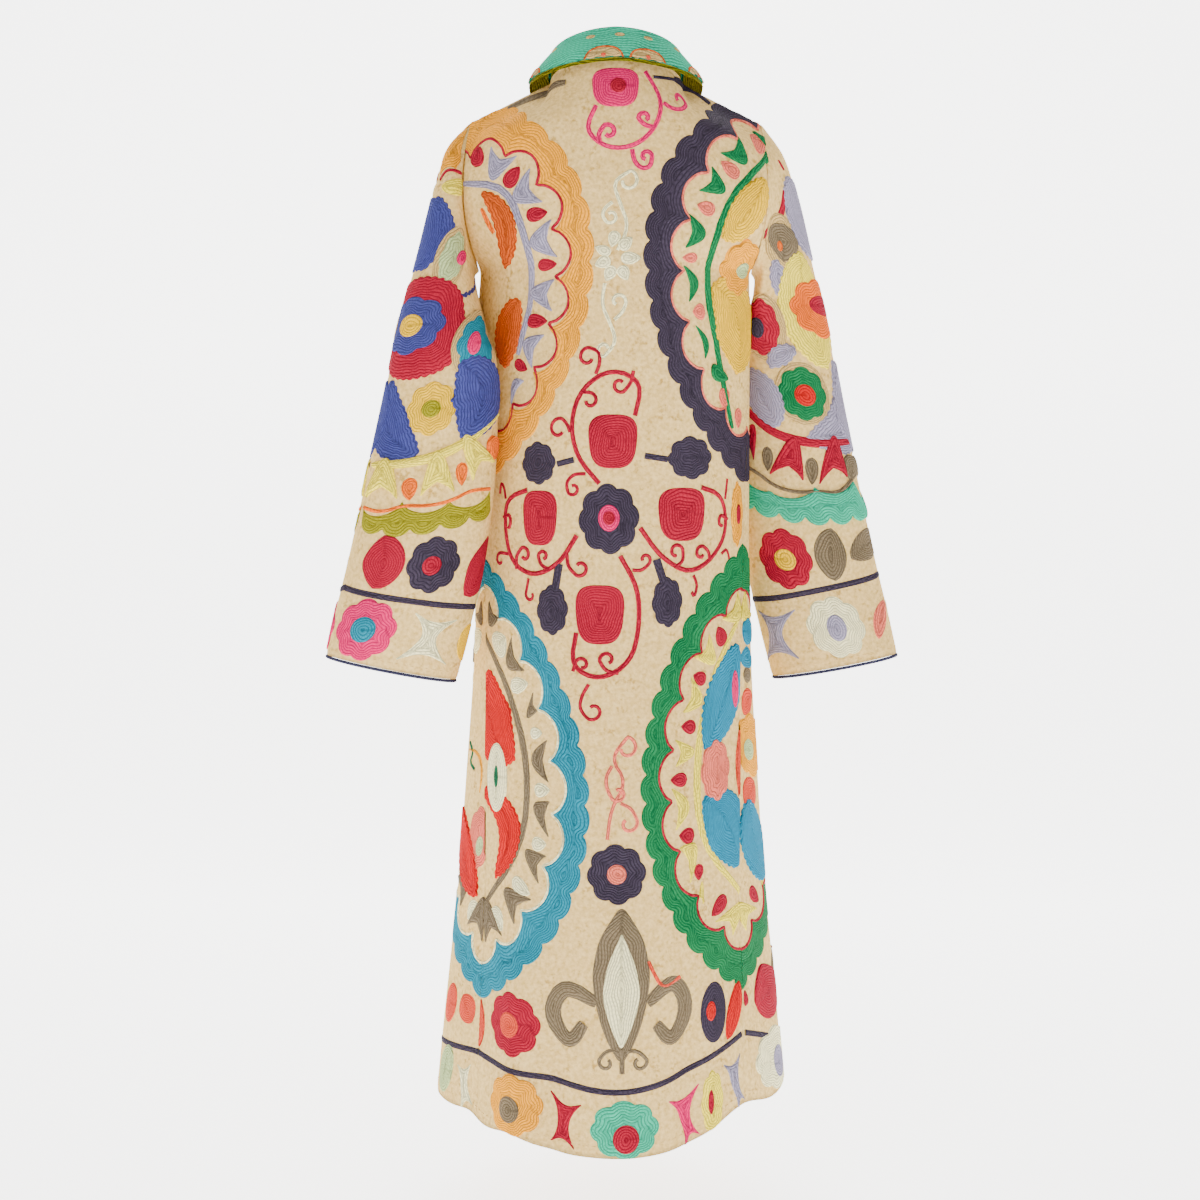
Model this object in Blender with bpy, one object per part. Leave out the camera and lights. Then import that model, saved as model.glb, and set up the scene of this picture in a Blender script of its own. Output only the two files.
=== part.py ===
"""Long embroidered coat, filled out as if worn: back, two fronts, two sleeves, collar and cuff piping.

Metres, +Z up. The back of the coat faces -Y and its front faces +Y. The origin is the middle of the
neck opening at nape height, where the wearer's neck and shoulders hold the coat up.
"""

import math

import bpy
import numpy as np

# Cloth
CLOTH = 0.0024
SEAM_GAP = 0.0004
LAYER_GAP = 0.0006

# Neckline and shoulders
NECK_HALF = 0.078
NECK_DEPTH = 0.076
NAPE_Z = -0.012
NECK_POINT = (NECK_HALF, -0.004, -0.030)
SHOULDER_TIP = (0.172, 0.000, -0.076)
NECK_SHARE = 0.46
NECK_BLEND = 0.075

# Rings of the body below the underarm: drop is the depth below the origin, seam is the angle of the
# side seam from centre back, and rise is how much higher the hem line runs at the sides than behind.
# flatness is 1 for an ellipse, and more for a ring that narrows to its two sides.
RING_COLUMNS = ("drop", "half_width", "back_depth", "front_depth", "seam_deg", "rise", "flatness")
RINGS = (
    (0.250, 0.1600, 0.124, 0.128, 90, 0.000, 1.55),
    (0.320, 0.1610, 0.123, 0.131, 84, 0.000, 1.60),
    (0.450, 0.1620, 0.122, 0.134, 76, 0.000, 1.60),
    (0.600, 0.1640, 0.127, 0.137, 69, 0.000, 1.55),
    (0.720, 0.1680, 0.137, 0.142, 63, 0.003, 1.50),
    (0.850, 0.1765, 0.149, 0.149, 58, 0.009, 1.45),
    (1.000, 0.1860, 0.164, 0.157, 54, 0.018, 1.40),
    (1.130, 0.1975, 0.178, 0.164, 52, 0.027, 1.35),
    (1.259, 0.2090, 0.191, 0.171, 50, 0.035, 1.30),
)

# Rows above the underarm, from the shoulder seam down: the centre line of the panel, its armhole
# edge, the sweep of the curve that joins them, and its flatness.
YOKE_COLUMNS = (
    "drop",
    "centre_x",
    "centre_y",
    "centre_z",
    "edge_x",
    "edge_y",
    "edge_z",
    "sweep_deg",
    "flatness",
)
BACK_YOKE = (
    (0.000, 0.000, -0.080, -0.012, 0.172, 0.000, -0.076, 76, 1.00),
    (0.050, 0.000, -0.098, -0.060, 0.175, -0.034, -0.112, 68, 1.05),
    (0.105, 0.000, -0.112, -0.112, 0.177, -0.050, -0.150, 66, 1.15),
    (0.160, 0.000, -0.120, -0.165, 0.175, -0.051, -0.190, 68, 1.30),
    (0.210, 0.000, -0.123, -0.212, 0.168, -0.036, -0.226, 76, 1.45),
    (0.250, 0.000, -0.124, -0.250, 0.160, 0.000, -0.250, 90, 1.55),
)
FRONT_YOKE = (
    (0.000, 0.078, -0.004, -0.030, 0.172, 0.000, -0.076, 20, 1.00),
    (0.050, 0.067, 0.044, -0.078, 0.174, 0.033, -0.112, 40, 1.05),
    (0.105, 0.053, 0.080, -0.130, 0.174, 0.047, -0.150, 55, 1.15),
    (0.160, 0.038, 0.105, -0.180, 0.171, 0.048, -0.190, 66, 1.30),
    (0.210, 0.024, 0.120, -0.224, 0.166, 0.034, -0.226, 78, 1.45),
    (0.250, 0.0145, 0.128, -0.262, 0.160, 0.000, -0.250, 90, 1.55),
)
FRONT_EDGE_X = 0.006
FRONT_V_DROP = 0.320

# Soft folds that run down the skirt: angle from centre back, half width, depth, the drop where each
# starts, and how far it draws the hem up. A positive depth stands out.
FOLD_COLUMNS = ("angle_deg", "width_deg", "depth", "start", "lift")
FOLDS = (
    (-22, 6, -0.0060, 0.80, 0.000),
    (-37, 9, 0.0085, 0.74, 0.010),
    (5, 12, 0.0045, 0.78, 0.000),
    (29, 7, -0.0050, 0.76, 0.000),
    (54, 19, -0.0030, 0.80, 0.022),
    (-62, 8, -0.0045, 0.82, 0.005),
    (-84, 11, 0.0050, 0.78, 0.000),
    (88, 11, 0.0045, 0.80, 0.008),
    (-122, 13, -0.0080, 0.45, 0.002),
    (126, 13, -0.0075, 0.50, 0.003),
    (-152, 10, 0.0075, 0.42, 0.000),
    (154, 10, 0.0080, 0.46, 0.000),
)

# Rings of a sleeve, from the first one past the armhole to the cuff: the outer and the inner point
# of the ring seen from behind, half of its depth, and how far it hangs off the middle of the coat.
SLEEVE_COLUMNS = ("outer_x", "outer_z", "inner_x", "inner_z", "half_depth", "sway")
SLEEVE = (
    (0.1975, -0.109, 0.1660, -0.262, 0.0500, 0.016),
    (0.2130, -0.158, 0.1580, -0.300, 0.0490, 0.031),
    (0.2315, -0.236, 0.1480, -0.338, 0.0490, 0.051),
    (0.2530, -0.323, 0.1400, -0.362, 0.0510, 0.067),
    (0.2720, -0.413, 0.1385, -0.432, 0.0500, 0.068),
    (0.2920, -0.503, 0.1430, -0.518, 0.0490, 0.067),
    (0.3125, -0.593, 0.1565, -0.611, 0.0470, 0.064),
    (0.3285, -0.657, 0.1725, -0.682, 0.0450, 0.060),
    (0.3400, -0.708, 0.1870, -0.737, 0.0430, 0.056),
)
# The left sleeve hangs behind the coat's side and the right one in front of it.
SLEEVE_SWAY = {"left": -1.0, "right": 0.95}
SLEEVE_SHIFT = {"left": (-0.0030, 0.006), "right": (0.0100, 0.001)}

# Collar: along is 0 at centre back, 1 at the neck point and 2 at the foot of the V in front. stand is
# its height, spread how far the turned-down fall reaches out from the fold, and fall how far it drops.
COLLAR_COLUMNS = ("along", "stand", "spread", "fall")
COLLAR = (
    (0.00, 0.0305, 0.0190, 0.0350),
    (0.35, 0.0290, 0.0205, 0.0345),
    (0.70, 0.0270, 0.0240, 0.0310),
    (1.00, 0.0240, 0.0290, 0.0230),
    (1.30, 0.0200, 0.0310, 0.0095),
    (1.60, 0.0150, 0.0290, 0.0060),
    (1.86, 0.0110, 0.0160, 0.0030),
)
FALL_SHARES = (0.0, 0.07, 0.15, 0.23, 0.42, 0.62, 0.82, 1.0)
UNDER_SHARES = FALL_SHARES[4:]
CROWN_SHARE = 0.23
CROWN_RADIUS = 0.0048
COLLAR_LAYER = 0.0018
UNDER_PEEK = 0.0035
PIPING_RADIUS = 0.0019

# How finely each piece is divided. The panels' rows above the underarm follow the sleeves' sides.
SKIRT_ROWS = 18
BACK_COLUMNS = 26
FRONT_COLUMNS = 14
SLEEVE_ROWS = 16
SLEEVE_SIDES = 28
COLLAR_STEPS = 36
PIPING_SIDES = 6


def spline(table, key, at):
    """Smooth values of a table's columns at one value of its key column, as {column: value}."""
    columns, rows = table
    rows = np.array(rows, float)
    t = rows[:, columns.index(key)]
    i = int(np.clip(np.searchsorted(t, at) - 1, 0, len(t) - 2))
    slopes = np.gradient(rows, t, axis=0)
    h = t[i + 1] - t[i]
    s = (at - t[i]) / h
    values = (
        (1 + 2 * s) * (1 - s) ** 2 * rows[i]
        + s * (1 - s) ** 2 * h * slopes[i]
        + s * s * (3 - 2 * s) * rows[i + 1]
        + s * s * (s - 1) * h * slopes[i + 1]
    )
    return dict(zip(columns, values))


def smooth(share):
    """0 to 1 with a soft start and end."""
    share = min(1.0, max(0.0, share))
    return share * share * (3 - 2 * share)


def fold_at(x, y, drop):
    """How far the folds push the body wall out, and draw it up, at the side that (x, y) lies on."""
    angle = math.degrees(math.atan2(x, -y))
    out = 0.0
    up = 0.0
    for fold_angle, width, depth, start, lift in FOLDS:
        apart = (angle - fold_angle + 180) % 360 - 180
        share = math.exp(-((apart / width) ** 2)) * smooth((drop - start) / (RINGS[-1][0] - start))
        out += depth * share
        up += lift * share
    return out, up


def flattened(turn, flatness):
    """The cosine of turn, drawn in so that a ring gets flatter faces and tighter sides."""
    cosine = math.cos(turn)
    return math.copysign(abs(cosine) ** flatness, cosine)


def body_row(panel, drop):
    """Centre point, edge point, sweep and flatness of a panel's row at a drop."""
    underarm = RINGS[0][0]
    if drop < underarm:
        row = spline((YOKE_COLUMNS, BACK_YOKE if panel == "back" else FRONT_YOKE), "drop", drop)
        centre = (row["centre_x"], row["centre_y"], row["centre_z"])
        edge = (row["edge_x"], row["edge_y"], row["edge_z"])
        return centre, edge, math.radians(row["sweep_deg"]), row["flatness"]
    ring = spline((RING_COLUMNS, RINGS), "drop", drop)
    seam = math.radians(ring["seam_deg"])
    share = flattened(seam, ring["flatness"])
    edge = (
        ring["half_width"] * math.sin(seam),
        -ring["back_depth"] * share,
        -drop + ring["rise"] * (1 - share),
    )
    if panel == "back":
        return (0.0, -ring["back_depth"], -drop), edge, seam, ring["flatness"]
    lapel = smooth((FRONT_V_DROP - drop) / (FRONT_V_DROP - underarm))
    centre_x = FRONT_EDGE_X + (FRONT_YOKE[-1][1] - FRONT_EDGE_X) * lapel
    centre_z = -drop + ring["rise"] + (FRONT_YOKE[-1][3] + underarm) * lapel
    return (centre_x, ring["front_depth"], centre_z), edge, math.pi - seam, ring["flatness"]


def top_line(share):
    """The back's top edge from the centre: half of the neckline, then the shoulder seam."""
    if share <= NECK_SHARE:
        turn = math.pi / 2 * share / NECK_SHARE
        return np.array(
            (
                NECK_HALF * math.sin(turn),
                NECK_POINT[1] - (NECK_DEPTH + NECK_POINT[1]) * math.cos(turn),
                NAPE_Z + (NECK_POINT[2] - NAPE_Z) * (1 - math.cos(turn)),
            )
        )
    step = (share - NECK_SHARE) / (1 - NECK_SHARE)
    return np.array(NECK_POINT) + step * (np.array(SHOULDER_TIP) - np.array(NECK_POINT))


def bowed_top(panel, share):
    """Where a panel's top row would run if it were bowed like the rows below it."""
    centre, edge, sweep, _ = body_row(panel, 0.0)
    reach = np.array(edge) - np.array(centre)
    bow = (1 - math.cos(share * sweep)) / (1 - math.cos(sweep))
    return np.array(centre) + reach * (math.sin(share * sweep) / math.sin(sweep), bow, bow)


def body_point(panel, across, drop):
    """A point of the coat's outer face.

    across runs from 0 at the centre line to 1 at the side seam or armhole; the back takes -1 to 1.
    """
    side = math.copysign(1.0, across)
    share = abs(across)
    centre, edge, sweep, flatness = body_row(panel, drop)
    turn = share * sweep
    bow = (1 - flattened(turn, flatness)) / (1 - flattened(sweep, flatness))
    x = centre[0] + (edge[0] - centre[0]) * math.sin(turn) / math.sin(sweep)
    y = centre[1] + (edge[1] - centre[1]) * bow
    if sweep > math.pi / 2:
        depth = centre[1] if turn < math.pi / 2 else edge[1] / flattened(sweep, flatness)
        y = depth * flattened(turn, flatness)
    z = centre[2] + (edge[2] - centre[2]) * bow
    point = np.array((x, y, z))
    if drop < NECK_BLEND:
        sewn = share if panel == "back" else NECK_SHARE + (1 - NECK_SHARE) * share
        point += (top_line(sewn) - bowed_top(panel, share)) * (1 - smooth(drop / NECK_BLEND))
    out, up = fold_at(side * point[0], point[1], drop)
    reach = math.hypot(point[0], point[1])
    point += np.array((out * point[0] / reach, out * point[1] / reach, up))
    point[0] *= side
    return point


def normal_at(surface, u, v, step_u, step_v):
    """Unit normal of surface(u, v), from points on both sides of it."""
    along = surface(u + step_u, v) - surface(u - step_u, v)
    down = surface(u, v + step_v) - surface(u, v - step_v)
    out = np.cross(down, along)
    return out / np.linalg.norm(out)


def wall(name, outer, normals, thickness, material, ring=False):
    """A closed wall: a grid of outer points, and the same grid moved in by the cloth's thickness.

    The columns of a ring close on themselves.
    """
    outer = np.array(outer)
    normals = np.array(normals)
    rows, columns = outer.shape[:2]
    points = np.concatenate([outer.reshape(-1, 3), (outer - thickness * normals).reshape(-1, 3)])
    inner = rows * columns
    faces = []
    last = columns if ring else columns - 1
    for i in range(rows - 1):
        for j in range(last):
            k = (j + 1) % columns
            quad = (i * columns + j, (i + 1) * columns + j, (i + 1) * columns + k, i * columns + k)
            faces.append(quad)
            faces.append([inner + corner for corner in reversed(quad)])
    for j in range(last):
        k = (j + 1) % columns
        low = (rows - 1) * columns
        faces.append((j, k, inner + k, inner + j))
        faces.append((low + k, low + j, inner + low + j, inner + low + k))
    if not ring:
        for i in range(rows - 1):
            first = i * columns
            below = first + columns
            faces.append((below, first, inner + first, inner + below))
            end = first + columns - 1
            below = end + columns
            faces.append((end, below, inner + below, inner + end))
    return solid(name, points, faces, material)


def solid(name, points, faces, material):
    """One named object from points and faces, turned to face outwards."""
    mesh = bpy.data.meshes.new(name)
    mesh.from_pydata([tuple(p) for p in points], [], faces)
    corners = np.array([[mesh.vertices[i].co for i in face.vertices[:3]] for face in mesh.polygons])
    if np.linalg.det(corners).sum() < 0:
        mesh.flip_normals()
    mesh.shade_smooth()
    mesh.set_sharp_from_angle(angle=math.radians(50))
    mesh.materials.append(material)
    obj = bpy.data.objects.new(name, mesh)
    bpy.context.scene.collection.objects.link(obj)
    return obj


def finish(name, colour, roughness):
    """A plain cloth material."""
    material = bpy.data.materials.new(name)
    material.use_nodes = True
    shader = material.node_tree.nodes["Principled BSDF"]
    shader.inputs["Base Color"].default_value = (*colour, 1.0)
    shader.inputs["Roughness"].default_value = roughness
    shader.inputs["Metallic"].default_value = 0.0
    return material


def armhole_drop(share):
    """The drop of a place on the armhole seam; share is 0 at the shoulder tip and 1 at the underarm."""
    return RINGS[0][0] * (0.8 * share + 0.1 * (1 - math.cos(math.pi * share)))


def body_drops():
    """The drops of a panel's rows: down to the underarm one for each side of the sleeve, then the skirt."""
    steps = SLEEVE_SIDES // 2
    yoke = [armhole_drop(i / steps) for i in range(steps)]
    return yoke + list(np.linspace(RINGS[0][0], RINGS[-1][0], SKIRT_ROWS + 1))


def pulled_back(edge, inside):
    """A seam's point moved half of the seam's gap towards its own panel."""
    return edge + (inside - edge) / np.linalg.norm(inside - edge) * SEAM_GAP / 2


def shoulder_normal():
    """Which way the cloth faces along the shoulder seam, the same for the back and the fronts."""
    line = np.array(SHOULDER_TIP) - np.array(NECK_POINT)
    line /= np.linalg.norm(line)
    up = np.array((0.0, 0.0, 1.0)) - line * line[2]
    return up / np.linalg.norm(up)


def edge_normal(panel, drop):
    """Which way a panel's cloth faces at its armhole or side seam, on the right."""
    if drop <= 0.0:
        return shoulder_normal()
    turned = -1.0 if panel == "front" else 1.0

    def surface(across, at):
        return body_point(panel, across, max(at, 0.0))

    return turned * normal_at(surface, 1.0, drop, 0.004, 0.0008)


def back_panel(material):
    """The back, from side seam to side seam, with its yoke up to the neckline and shoulder seams."""

    def surface(across, drop):
        return body_point("back", across, max(drop, 0.0))

    points = []
    normals = []
    for drop in body_drops():
        row = []
        row_normals = []
        for across in np.linspace(-1.0, 1.0, BACK_COLUMNS + 1):
            row.append(surface(across, drop))
            if drop == 0.0 and abs(across) > NECK_SHARE:
                row_normals.append(shoulder_normal() * (math.copysign(1.0, across), 1, 1))
            else:
                row_normals.append(normal_at(surface, across, drop + 0.001, 0.004, 0.001))
        row[0] = pulled_back(row[0], surface(-0.98, drop))
        row[-1] = pulled_back(row[-1], surface(0.98, drop))
        points.append(row)
        normals.append(row_normals)
    return wall("back", points, normals, CLOTH, material)


def front_panel(side, material):
    """One front, from its edge at centre front round to the side seam, cut away to a V at the neck."""
    sign = -1.0 if side == "left" else 1.0

    def surface(across, drop):
        return body_point("front", sign * across, max(drop, 0.0))

    points = []
    normals = []
    for drop in body_drops():
        row = []
        row_normals = []
        for across in np.linspace(0.001, 1.0, FRONT_COLUMNS + 1):
            point = surface(across, drop)
            if drop == 0.0:
                point = point + np.array((0.0, SEAM_GAP, 0.0))
                row_normals.append(shoulder_normal() * (sign, 1, 1))
            else:
                near = max(across, 0.005)
                row_normals.append(-sign * normal_at(surface, near, drop + 0.001, 0.004, 0.001))
            row.append(point)
        row[-1] = pulled_back(row[-1], surface(0.98, drop))
        points.append(row)
        normals.append(row_normals)
    return wall(f"front_{side}", points, normals, CLOTH, material)


def armhole_point(turn):
    """The armhole seam: turn 0 at the shoulder tip, a quarter turn behind, half a turn under the arm."""
    share = abs((turn + math.pi) % (2 * math.pi) - math.pi) / math.pi
    behind = turn % (2 * math.pi) < math.pi
    drop = armhole_drop(share)
    return body_point("back" if behind else "front", 1.0, min(drop, RINGS[0][0] - 1e-6))


def armhole_normal(turn):
    """Which way the body's cloth faces at a place of the armhole seam."""
    share = abs((turn + math.pi) % (2 * math.pi) - math.pi) / math.pi
    behind = turn % (2 * math.pi) < math.pi
    drop = armhole_drop(share)
    return edge_normal("back" if behind else "front", min(drop, RINGS[0][0] - 0.001))


def sleeve_ring(index, turn, side):
    """A point on one ring of the sleeve. Ring 0 is the armhole seam, moved out by the seam's gap."""
    if index == 0:
        under = smooth((1 - math.cos(turn)) / 2)
        return armhole_point(turn) + np.array((0.0006 + 0.0008 * under, 0.0, 0.0002))
    row = dict(zip(SLEEVE_COLUMNS, SLEEVE[index - 1]))
    outer = np.array((row["outer_x"], 0.0, row["outer_z"]))
    inner = np.array((row["inner_x"], 0.0, row["inner_z"]))
    middle = (outer + inner) / 2
    half = (outer - inner) / 2
    sideways, up = SLEEVE_SHIFT[side]
    away = SLEEVE_SWAY[side] * row["sway"] - row["half_depth"] * math.sin(turn)
    offset = np.array((sideways * smooth(index / 4), away, up * index / len(SLEEVE)))
    return middle + half * math.cos(turn) + offset


def sleeve_point(along, turn, side):
    """A point of a sleeve's outer face on the right. along is 0 at the armhole and 9 at the cuff."""
    last = len(SLEEVE)
    i = int(min(max(math.floor(along), 0), last - 1))
    s = along - i
    rings = [sleeve_ring(min(max(k, 0), last), turn, side) for k in range(i - 1, i + 3)]
    slope_in = (rings[2] - rings[0]) / (2 if i > 0 else 1)
    slope_out = (rings[3] - rings[1]) / (2 if i < last - 1 else 1)
    return (
        (1 + 2 * s) * (1 - s) ** 2 * rings[1]
        + s * (1 - s) ** 2 * slope_in
        + s * s * (3 - 2 * s) * rings[2]
        + s * s * (s - 1) * slope_out
    )


def sleeve(side, material):
    """A tube from the armhole to the cuff, which widens on its way down."""
    sign = -1.0 if side == "left" else 1.0

    def surface(turn, along):
        return sleeve_point(along, turn, side)

    points = []
    normals = []
    for along in np.linspace(0.0, 1.0, SLEEVE_ROWS + 1) ** 1.15 * len(SLEEVE):
        row = []
        row_normals = []
        for j in range(SLEEVE_SIDES):
            turn = 2 * math.pi * j / SLEEVE_SIDES
            row.append(surface(turn, along) * (sign, 1, 1))
            out = -normal_at(surface, turn, max(along, 0.06), 0.05, 0.05)
            if along == 0.0:
                under = smooth((1 - math.cos(turn)) / 2)
                out = out * under + armhole_normal(turn) * (1 - under)
                out /= np.linalg.norm(out)
            row_normals.append(out * (sign, 1, 1))
        points.append(row)
        normals.append(row_normals)
    return wall(f"sleeve_{side}", points, normals, CLOTH, material, ring=True)


def piping(side, material):
    """The round cord sewn round a cuff, just below the end of the sleeve."""
    sign = -1.0 if side == "left" else 1.0
    last = len(SLEEVE)
    points = []
    faces = []
    for j in range(SLEEVE_SIDES):
        turn = 2 * math.pi * j / SLEEVE_SIDES
        edge = sleeve_point(last, turn, side)
        above = sleeve_point(last - 0.1, turn, side)
        down = (edge - above) / np.linalg.norm(edge - above)
        out = edge - sleeve_point(last, turn + math.pi, side)
        out -= down * out.dot(down)
        out /= np.linalg.norm(out)
        middle = edge - out * CLOTH / 2 + down * (PIPING_RADIUS + 0.0003)
        for k in range(PIPING_SIDES):
            angle = 2 * math.pi * (k + 0.5) / PIPING_SIDES
            spoke = math.cos(angle) * out + math.sin(angle) * down
            points.append((middle + PIPING_RADIUS * spoke) * (sign, 1, 1))
    for j in range(SLEEVE_SIDES):
        for k in range(PIPING_SIDES):
            a = j * PIPING_SIDES
            b = (j + 1) % SLEEVE_SIDES * PIPING_SIDES
            faces.append((a + k, b + k, b + (k + 1) % PIPING_SIDES, a + (k + 1) % PIPING_SIDES))
    return solid(f"cuff_piping_{side}", points, faces, material)


def neckline(along):
    """A point of the neckline: centre back at 0, the right neck point at 1, the foot of the V at 2."""
    if along <= 1:
        return top_line(along * NECK_SHARE)
    return body_point("front", 0.0, (along - 1) * FRONT_V_DROP)


def collar_frame(along):
    """The neckline point, the outward direction over the cloth and the collar's row at that place."""
    along_abs = abs(along)
    point = neckline(along_abs)
    if along_abs <= 1:
        turn = along_abs * math.pi / 2
        out = np.array((math.sin(turn), -math.cos(turn), 0.0))
    else:
        drop = (along_abs - 1) * FRONT_V_DROP
        across = body_point("front", 0.12, drop) - body_point("front", 0.0, drop)
        mix = smooth((along_abs - 1) / 0.25)
        out = (1 - mix) * np.array((1.0, 0.0, 0.0)) + mix * across / np.linalg.norm(across)
        out /= np.linalg.norm(out)
    row = spline((COLLAR_COLUMNS, COLLAR), "along", along_abs)
    return point, out, row


def cloth_normal(along):
    """Which way the coat's cloth faces by the neckline: up at the shoulder, forward on the chest."""
    mix = smooth((abs(along) - 0.9) / 0.45)
    up = np.array((0.0, 0.0, 1.0))
    if mix == 0.0:
        return up
    drop = max((abs(along) - 1) * FRONT_V_DROP, 0.002)
    chest = -normal_at(lambda u, v: body_point("front", u, v), 0.10, drop, 0.004, 0.0015)
    blended = (1 - mix) * up + mix * chest
    return blended / np.linalg.norm(blended)


def collar_profile(along, share, layer):
    """A point of the collar. layer is stand, fall or under; share runs from 0 to 1 down the layer."""
    point, out, row = collar_frame(along)
    up = cloth_normal(along)
    foot = point - out * 0.0012 + up * 0.0010
    fold = foot + up * row["stand"] - out * 0.10 * row["stand"]
    if layer == "stand":
        return fold + (foot + up * 0.0004 - fold) * share
    turn = min(share / CROWN_SHARE, 1.0) * math.pi / 2
    radius = min(CROWN_RADIUS, 0.25 * row["stand"])
    crown = fold + up * (COLLAR_LAYER + 0.0012) - out * 0.0012
    start = crown + out * radius * 1.4 - up * radius
    end = fold + out * row["spread"] - up * row["fall"]
    if share <= CROWN_SHARE:
        return crown + out * radius * math.sin(turn) * 1.4 - up * radius * (1 - math.cos(turn))
    run = (share - CROWN_SHARE) / (1 - CROWN_SHARE)
    belly = out * 0.0025 * math.sin(math.pi * run)
    return start + (end - start) * run + belly


def collar_grid(layer, shares):
    """Points and normals of one collar layer, from one foot of the V round the nape to the other."""
    reach = COLLAR[-1][0]

    def surface(along, share):
        return collar_profile(abs(along), share, layer) * (math.copysign(1.0, along), 1, 1)

    points = []
    normals = []
    for along in np.linspace(-reach, reach, COLLAR_STEPS + 1):
        row = []
        row_normals = []
        for share in shares:
            nudged = along if abs(along) > 0.012 else 0.012
            row.append(surface(along, share))
            out = np.cross(
                surface(nudged, share + 0.01) - surface(nudged, share - 0.01),
                surface(nudged + 0.01, share) - surface(nudged - 0.01, share),
            )
            if nudged != along:
                out[0] = 0.0
            row_normals.append(out / np.linalg.norm(out))
        points.append(row)
        normals.append(row_normals)
    return np.array(points), np.array(normals)


def collar(stand_cloth, fall_cloth, under_cloth):
    """The stand round the neck, the fall turned down over it, and the under collar that shows below it."""
    points, normals = collar_grid("stand", (0.0, 0.33, 0.67, 1.0))
    wall("collar_stand", points, normals, COLLAR_LAYER, stand_cloth)
    points, normals = collar_grid("fall", FALL_SHARES)
    wall("collar_fall", points, normals, COLLAR_LAYER, fall_cloth)
    points, normals = collar_grid("fall", UNDER_SHARES)
    down = points[:, -1] - points[:, -2]
    down /= np.linalg.norm(down, axis=1)[:, None]
    points -= normals * (COLLAR_LAYER + LAYER_GAP)
    points[:, -1] += down * UNDER_PEEK
    wall("collar_under", points[2:-2], normals[2:-2], COLLAR_LAYER, under_cloth)


def build():
    """The whole coat."""
    for obj in list(bpy.data.objects):
        bpy.data.objects.remove(obj)
    ground = finish("sand_cotton", (0.62, 0.50, 0.35), 0.9)
    mint = finish("mint_stitching", (0.08, 0.50, 0.33), 0.8)
    olive = finish("olive_stitching", (0.36, 0.33, 0.05), 0.8)
    navy = finish("navy_cord", (0.03, 0.03, 0.07), 0.8)
    back_panel(ground)
    for side in ("left", "right"):
        front_panel(side, ground)
        sleeve(side, ground)
        piping(side, navy)
    collar(olive, mint, olive)


build()
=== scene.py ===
# %% [markdown]
# # A long embroidered coat, seen from behind
#
# A sand-coloured cotton coat covered in chain-stitch medallions, rosettes and vines. This script makes
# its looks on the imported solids: thin cloth shells, the stitched ornament, the cord and the light.

# %% Load the solids
import math

import bpy
import numpy as np
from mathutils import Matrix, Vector
from mathutils.geometry import delaunay_2d_cdt


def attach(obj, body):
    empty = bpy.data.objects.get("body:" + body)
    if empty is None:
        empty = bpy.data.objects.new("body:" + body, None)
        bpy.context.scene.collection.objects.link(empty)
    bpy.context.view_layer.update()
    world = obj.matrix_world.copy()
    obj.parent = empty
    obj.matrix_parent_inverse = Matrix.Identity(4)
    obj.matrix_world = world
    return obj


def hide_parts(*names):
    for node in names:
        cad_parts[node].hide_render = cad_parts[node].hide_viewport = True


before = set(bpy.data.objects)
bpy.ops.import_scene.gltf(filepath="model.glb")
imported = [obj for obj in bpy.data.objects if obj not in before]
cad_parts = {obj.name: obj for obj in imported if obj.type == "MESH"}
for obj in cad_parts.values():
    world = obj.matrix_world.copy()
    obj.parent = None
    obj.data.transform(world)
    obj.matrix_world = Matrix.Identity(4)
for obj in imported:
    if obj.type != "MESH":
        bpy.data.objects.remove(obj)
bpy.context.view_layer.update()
print("solids:", sorted(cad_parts))

# %% [markdown]
# ## The cut
#
# The real coat is cut from flat cloth: a back, two fronts and two sleeves, then filled out by the body
# inside it. The same rings and rows as the solids' describe that filled-out form. They could be read
# back from the solids, but a formula gives a fine grid, and the flat place of every point on it.

# %% The tables of the cut
RING_COLUMNS = ("drop", "half_width", "back_depth", "front_depth", "seam_deg", "rise", "flatness")
RINGS = (
    (0.250, 0.1600, 0.124, 0.128, 90, 0.000, 1.55),
    (0.320, 0.1610, 0.123, 0.131, 84, 0.000, 1.60),
    (0.450, 0.1620, 0.122, 0.134, 76, 0.000, 1.60),
    (0.600, 0.1640, 0.127, 0.137, 69, 0.000, 1.55),
    (0.720, 0.1680, 0.137, 0.142, 63, 0.003, 1.50),
    (0.850, 0.1765, 0.149, 0.149, 58, 0.009, 1.45),
    (1.000, 0.1860, 0.164, 0.157, 54, 0.018, 1.40),
    (1.130, 0.1975, 0.178, 0.164, 52, 0.027, 1.35),
    (1.259, 0.2090, 0.191, 0.171, 50, 0.035, 1.30),
)
YOKE_COLUMNS = ("drop", "cx", "cy", "cz", "ex", "ey", "ez", "sweep_deg", "flatness")
BACK_YOKE = (
    (0.000, 0.000, -0.080, -0.012, 0.172, 0.000, -0.076, 76, 1.00),
    (0.050, 0.000, -0.098, -0.060, 0.175, -0.034, -0.112, 68, 1.05),
    (0.105, 0.000, -0.112, -0.112, 0.177, -0.050, -0.150, 66, 1.15),
    (0.160, 0.000, -0.120, -0.165, 0.175, -0.051, -0.190, 68, 1.30),
    (0.210, 0.000, -0.123, -0.212, 0.168, -0.036, -0.226, 76, 1.45),
    (0.250, 0.000, -0.124, -0.250, 0.160, 0.000, -0.250, 90, 1.55),
)
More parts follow.
